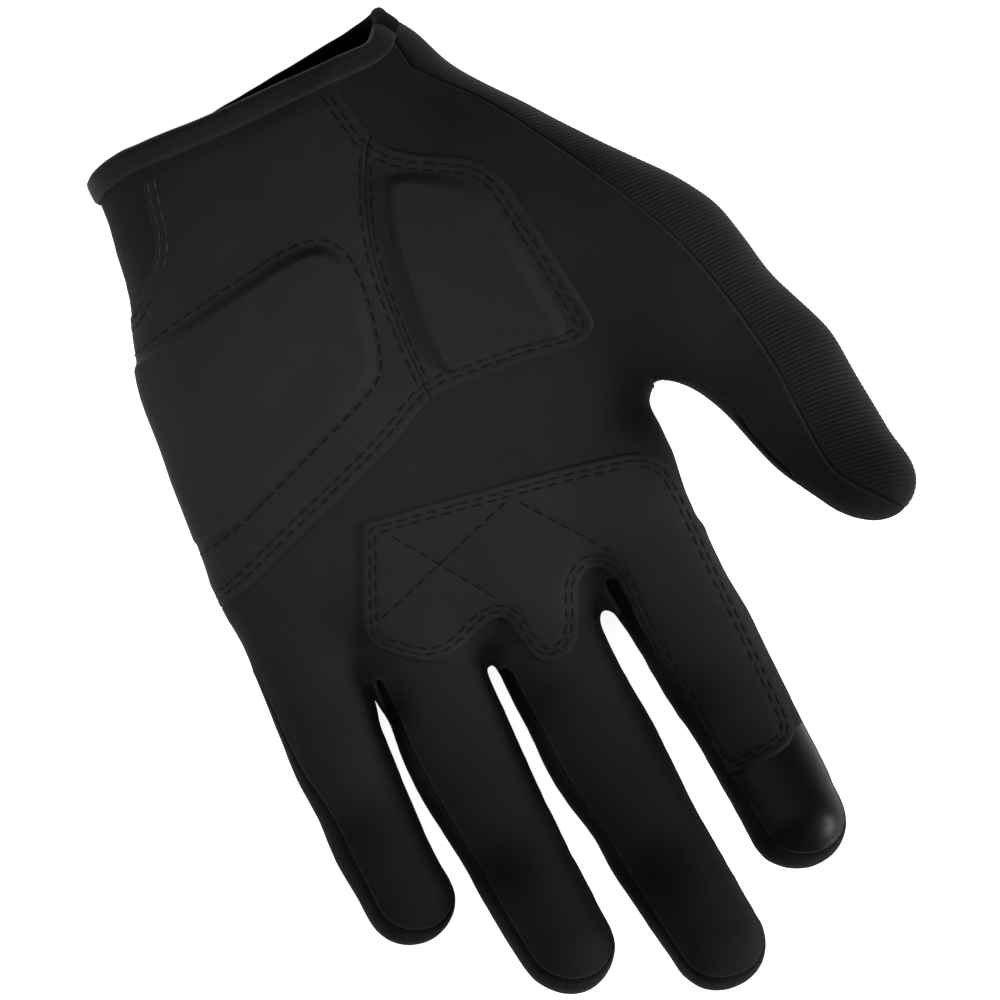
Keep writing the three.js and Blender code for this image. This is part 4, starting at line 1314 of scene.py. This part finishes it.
def lining_skin(skin):
    """The inside of the hand, turned to face the opening."""
    inner, _ = cut(skin, skin.points[:, 1] - LINING_END)
    _, inner = cut(inner, cuff_edge(inner.points) - 1.0)
    _, inner = cut(inner, thumb_zone(inner.points) - 1.0)
    points = inner.points - inner.normals * (WALL + 0.6)
    return shaded(Skin(points, inner.faces[:, ::-1], -inner.normals, {"rest": points.copy()}))


lining = lining_skin(glove)


# Materials
# Each fabric: what its greys follow and the greys along it, its bumps, and how much it shines.
# A texture is its kind, scale and detail; a bump is a texture, its strength and its depth.
FABRICS = {
    "suede": (
        ("noise", 45, 3), [(0.3, 0.0094), (0.55, 0.0107), (0.75, 0.0122)],
        [("noise", 2300, 4, 0.6, 0.0005)], 0.06,
    ),
    "leather": (
        ("noise", 40, 3), [(0.3, 0.0099), (0.7, 0.0122)],
        [("DISTANCE_TO_EDGE", 1100, 0, 0.3, 0.0002), ("noise", 2600, 3, 0.45, 0.00035)], 0.08,
    ),
    "smooth": (
        ("noise", 70, 3), [(0.3, 0.0012), (0.7, 0.002)],
        [("noise", 900, 3, 0.15, 0.0001)], 0.12,
    ),
    "knit": (
        ("noise", 55, 3), [(0.3, 0.0055), (0.7, 0.0085)],
        [("F1", 1500, 0, 0.5, 0.0003)], 0.05,
    ),
    # The ribs' greys follow the rib attribute, which carries painted shade
    "ribs": (
        "rib", [(0.0, 0.0003), (0.35, 0.0036), (0.75, 0.0128)],
        [("F1", 1700, 0, 0.3, 0.0001)], 0.07,
    ),
    "twist": (
        ("noise", 4000, 2), [(0.35, 0.0046), (0.65, 0.0066)],
        [("noise", 4000, 2, 0.4, 0.0001)], 0.05,
    ),
    "dark": (
        ("noise", 300, 3), [(0.3, 0.0006), (0.7, 0.0014)],
        [("noise", 300, 3, 0.3, 0.0003)], 0.03,
    ),
}
NOISE_ROUGHNESS = 0.55


def grey(value):
    return (value, value, value, 1)


def attribute(nodes, name):
    node = nodes.new("ShaderNodeAttribute")
    node.attribute_name = name
    return node


def texture(nodes, links, place, kind, scale, detail):
    """Noise, or the cells of a Voronoi texture with that feature."""
    if kind == "noise":
        node = nodes.new("ShaderNodeTexNoise")
        node.inputs["Detail"].default_value = detail
        node.inputs["Roughness"].default_value = NOISE_ROUGHNESS
    else:
        node = nodes.new("ShaderNodeTexVoronoi")
        node.feature = kind
    node.inputs["Scale"].default_value = scale
    links.new(place, node.inputs["Vector"])
    return node.outputs["Fac" if kind == "noise" else "Distance"]


def add_greys(nodes, links, factor, stops):
    """Greys along a factor, made darker or lighter by the painted shade attribute."""
    ramp = nodes.new("ShaderNodeValToRGB")
    first, last = ramp.color_ramp.elements
    (first.position, dark), *between, (last.position, light) = stops
    first.color, last.color = grey(dark), grey(light)
    for position, value in between:
        ramp.color_ramp.elements.new(position).color = grey(value)
    links.new(factor, ramp.inputs["Fac"])
    tinted = nodes.new("ShaderNodeVectorMath")
    tinted.operation = "MULTIPLY"
    links.new(ramp.outputs["Color"], tinted.inputs[0])
    links.new(attribute(nodes, "painted_shade").outputs["Fac"], tinted.inputs[1])
    return tinted.outputs["Vector"]


def shiny(name, value, roughness):
    """A new material with its shader, in one grey."""
    material = bpy.data.materials.new(name)
    material.use_nodes = True
    shader = material.node_tree.nodes["Principled BSDF"]
    shader.inputs["Base Color"].default_value = grey(value)
    shader.inputs["Roughness"].default_value = roughness
    return material, shader


def cloth_material(name, fabric, value, roughness):
    material, shader = shiny(name, value, roughness)
    nodes, links = material.node_tree.nodes, material.node_tree.links
    pattern, stops, bumps, shine = FABRICS[fabric]
    place = attribute(nodes, "rest").outputs["Vector"]
    made = {}
    if isinstance(pattern, str):
        factor = attribute(nodes, pattern).outputs["Fac"]
    else:
        factor = made[pattern] = texture(nodes, links, place, *pattern)
    links.new(add_greys(nodes, links, factor, stops), shader.inputs["Base Color"])
    below = None
    for *kind, strength, depth in bumps:
        height = made.get(tuple(kind)) or texture(nodes, links, place, *kind)
        bump = nodes.new("ShaderNodeBump")
        bump.inputs["Strength"].default_value = strength
        bump.inputs["Distance"].default_value = depth
        links.new(height, bump.inputs["Height"])
        if below:
            links.new(below, bump.inputs["Normal"])
        below = bump.outputs["Normal"]
    links.new(below, shader.inputs["Normal"])
    shader.inputs["Specular IOR Level"].default_value = shine
    return material


SUEDE = cloth_material("palm_suede", "suede", 0.013, 0.78)
LEATHER = cloth_material("pad_leather", "leather", 0.013, 0.7)
OVERLAY = cloth_material("overlay_leather", "leather", 0.014, 0.66)
TOUCH = cloth_material("touch_leather", "smooth", 0.012, 0.42)
RIBS = cloth_material("ribbed_knit", "ribs", 0.006, 0.7)
KNIT = cloth_material("stretch_knit", "knit", 0.01, 0.8)
TAPE = cloth_material("binding_tape", "leather", 0.014, 0.6)
# Near black for the tape's back half: painted shade
TAPE_PAINTED_SHADE = cloth_material("back_tape_painted_shade", "dark", 0.002, 0.8)
FOAM = cloth_material("pad_foam", "suede", 0.05, 0.9)
THREAD = cloth_material("thread", "twist", 0.01, 0.7)
# Near black for the lining; also drawn on the tape's inner half as painted shade
LINING_AND_PAINTED_SHADE = cloth_material("lining", "dark", 0.001, 0.9)


# Pieces
def shown(item):
    bpy.context.scene.collection.objects.link(item)
    return item


def painted_shade_field(points):
    """Painted shade on the palm side: darker in folds and towards the fingertips, lighter at one
    spot.
    """
    x, y, z = points.T
    painted_shade = 1 - 0.16 * ease(y, 130.0, 160.0)
    for spot_x, spot_y, reach, amount in PAINTED_SHADE_SPOTS:
        painted_shade += amount * np.exp(-((x - spot_x) ** 2 + (y - spot_y) ** 2) / reach ** 2)
    return 1 + (np.clip(painted_shade, 0.3, 1.2) - 1) * ease(z - mid_height(y), -13.0, -7.0)


def painted_shade_of(skin, material):
    """The painted shade at each point: painted highlights on turned edges and the wrist's thread,
    painted shade in the webs.
    """
    rest = skin.data["rest"]
    y = rest[:, 1]
    painted_shade = painted_shade_field(rest)
    # Painted highlight along the turned edges of suede and overlay panels
    if material in (SUEDE, OVERLAY) and "rim" in skin.data:
        at, width, gain = PAINTED_EDGE_HIGHLIGHT
        painted_shade = painted_shade * (1 + gain * np.exp(-((skin.data["rim"] - at) / width) ** 2))
    # Painted highlight on the wrist panel's thread
    if material is THREAD:
        painted_shade = painted_shade * (1 + PAINTED_WRIST_HIGHLIGHT * ease(rest[:, 0], 14.0, 18.0) * (1 - ease(y, 22.0, 31.0)))
    # Painted shade on the knit in the webs between the fingers
    if material is KNIT:
        painted_shade = painted_shade * (1 - PAINTED_WEB_SHADE * near_web(rest, 14) * ease(y, 104.0, 116.0))
    return painted_shade


def put(name, skin, material, nodes=()):
    """Makes a piece from a skin, with the place, painted shade and ribs that its material reads."""
    mesh = bpy.data.meshes.new(name)
    spots = to_row(skin.points)
    spots[:, 2] = np.maximum(spots[:, 2], 0.0)
    mesh.from_pydata(spots.tolist(), [], skin.faces.tolist())
    rest = mesh.attributes.new("rest", "FLOAT_VECTOR", "POINT")
    rest.data.foreach_set("vector", (skin.data["rest"] * MM).astype(np.float32).ravel())
    values = {"painted_shade": painted_shade_of(skin, material)}
    if "rib" in skin.data:
        values["rib"] = skin.data["rib"]
    for kind, value in values.items():
        attribute_data = mesh.attributes.new(kind, "FLOAT", "POINT").data
        attribute_data.foreach_set("value", value.astype(np.float32))
    mesh.polygons.foreach_set("use_smooth", np.ones(len(mesh.polygons), bool))
    mesh.normals_split_custom_set_from_vertices(skin.normals.tolist())
    mesh.materials.append(material)
    piece = shown(bpy.data.objects.new(name, mesh))
    if nodes:
        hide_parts(*nodes)
    return piece


def bend(piece):
    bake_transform(piece)


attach(put("palm", palm, SUEDE, ["palm_panel"]), "hand")
heel_piece = put("heel_pad", heel, LEATHER, ["heel_pad_cover"])
thenar_piece = put("thenar_pad", thenar, LEATHER, ["thenar_pad_cover"])
for piece in (heel_piece, thenar_piece):
    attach(piece, "hand")
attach(put("wrist_side", wrist, SUEDE, ["wrist_side_panel"]), "hand")
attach(put("saddle", saddle, OVERLAY, ["saddle_reinforcement"]), "hand")
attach(put("back", back, KNIT, ["back_panel"]), "hand")
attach(put("cuff_gather", elastic, KNIT, ["cuff_elastic"]), "hand")
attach(put("cuff_tape", tape, TAPE, ["cuff_binding"]), "hand")
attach(put("cuff_tape_back_painted_shade", back_tape_painted_shade, TAPE_PAINTED_SHADE), "hand")
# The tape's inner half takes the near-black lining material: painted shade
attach(put("cuff_tape_inside", inner_tape, LINING_AND_PAINTED_SHADE), "hand")
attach(put("lining", lining, LINING_AND_PAINTED_SHADE), "hand")
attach(put("threads", hand_threads, THREAD), "hand")
bend(put("index_threads", index_threads, THREAD))
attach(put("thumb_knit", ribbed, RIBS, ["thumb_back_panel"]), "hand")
STILL_SIDES = [
    "little_side_strip", "ring_little_fourchette", "middle_ring_fourchette",
    "index_middle_fourchette", "index_side_strip",
]
for name, part in zip(STILL_SIDES, still_sides):
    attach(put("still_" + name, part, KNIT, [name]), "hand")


def bending(name, part, material, slot, *nodes):
    """A moving part of a finger or the thumb as a piece, with its transform baked into its mesh."""
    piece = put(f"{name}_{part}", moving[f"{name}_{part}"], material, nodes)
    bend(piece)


for name in FINGERS:
    bending(name, "front", SUEDE, "palm_suede", name + "_end_front", name + "_flex_band")
    bending(name, "side", KNIT, "stretch_knit", name + "_end_side")
    bending(name, "back", KNIT, "stretch_knit", name + "_end_back")
bending("index", "layer", OVERLAY, "overlay_leather")
bending("index", "tip", TOUCH, "touch_leather", "index_touch_tip")
bending("thumb", "front", SUEDE, "palm_suede", "thumb_end_front", "thumb_flex_band")
bending("thumb", "back", RIBS, "ribbed_knit", "thumb_end_back")


def foam_piece(name, cover, node):
    """The foam under a pad cover: a closed lens."""
    core = biggest(cut(cover, cover.data[name] + FOAM_INSET)[0])
    top = core.points - core.normals * FOAM_UNDER
    thick = np.maximum(foam_bulge(core, name) - FOAM_SPARE, FOAM_LEAST)
    bottom = top - core.normals * thick[:, None]
    count = len(top)
    a, b = borders(core).T
    walls = np.concatenate([
        np.stack([b, a, a + count], axis=1), np.stack([b, a + count, b + count], axis=1)
    ])
    lens = Skin(
        np.concatenate([top, bottom]),
        np.concatenate([core.faces, core.faces[:, ::-1] + count, walls]),
        np.concatenate([core.normals, -core.normals]),
        {"rest": np.concatenate([core.data["rest"]] * 2)},
    )
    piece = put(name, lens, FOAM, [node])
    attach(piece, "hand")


foam_piece("heel_foam", heel, "heel_pad_foam")
foam_piece("thenar_foam", thenar, "thenar_pad_foam")


# Floor, lights and camera
def plane(name, half, z, material):
    mesh = bpy.data.meshes.new(name)
    corners = [(-half, -half, z), (half, -half, z), (half, half, z), (-half, half, z)]
    mesh.from_pydata(corners, [], [(0, 1, 2, 3)])
    mesh.materials.append(material)
    return shown(bpy.data.objects.new(name, mesh))


FLOOR, floor_shader = shiny("studio_floor", 0.9, 0.9)
floor_shader.inputs["Emission Color"].default_value = grey(1)
floor_shader.inputs["Emission Strength"].default_value = 0.9
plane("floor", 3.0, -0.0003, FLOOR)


def area_light(name, place, size, power, target=(0.0, 0.0, 0.02)):
    light = bpy.data.lights.new(name, "AREA")
    light.shape = "RECTANGLE"
    light.size, light.size_y = size
    light.energy = power
    lamp = shown(bpy.data.objects.new(name, light))
    lamp.location = place
    lamp.rotation_euler = (Vector(target) - Vector(place)).to_track_quat("-Z", "Y").to_euler()
    lamp.visible_camera = False


# A fit of brightness to the photograph gave these places and a start for the strengths
area_light("side", (-0.889, 0.859, 0.402), (0.6, 0.3), 19.5)
area_light("heel", (0.0678, -0.0251, 0.13), (0.09, 0.09), 0.072, (0.0678, -0.0251, 0))
area_light("palm", (-0.0045, -0.0183, 0.13), (0.09, 0.09), 0.046, (-0.0045, -0.0183, 0))
area_light("rim", (0.1107, -0.0679, 0.07), (0.06, 0.06), 0.034, (0.0567, -0.0237, 0.03))

world = bpy.context.scene.world or bpy.data.worlds.new("studio")
bpy.context.scene.world = world
world.use_nodes = True
world.node_tree.nodes["Background"].inputs["Color"].default_value = grey(1)
world.node_tree.nodes["Background"].inputs["Strength"].default_value = 0.235
bpy.context.scene.view_settings.view_transform = "Standard"

camera = bpy.data.cameras.new("camera")
camera.sensor_width = 36.0
camera.lens = 203.9
viewer = shown(bpy.data.objects.new("camera", camera))
right = Vector((-0.8746, 0.4848, 0))
up = Vector((-0.4848, -0.8746, 0))
away = Vector((0, 0, 1))
viewer.matrix_world = Matrix((right, up, away)).transposed().to_4x4()
viewer.location = (0.0072, -0.0058, 1.2)
bpy.context.scene.camera = viewer
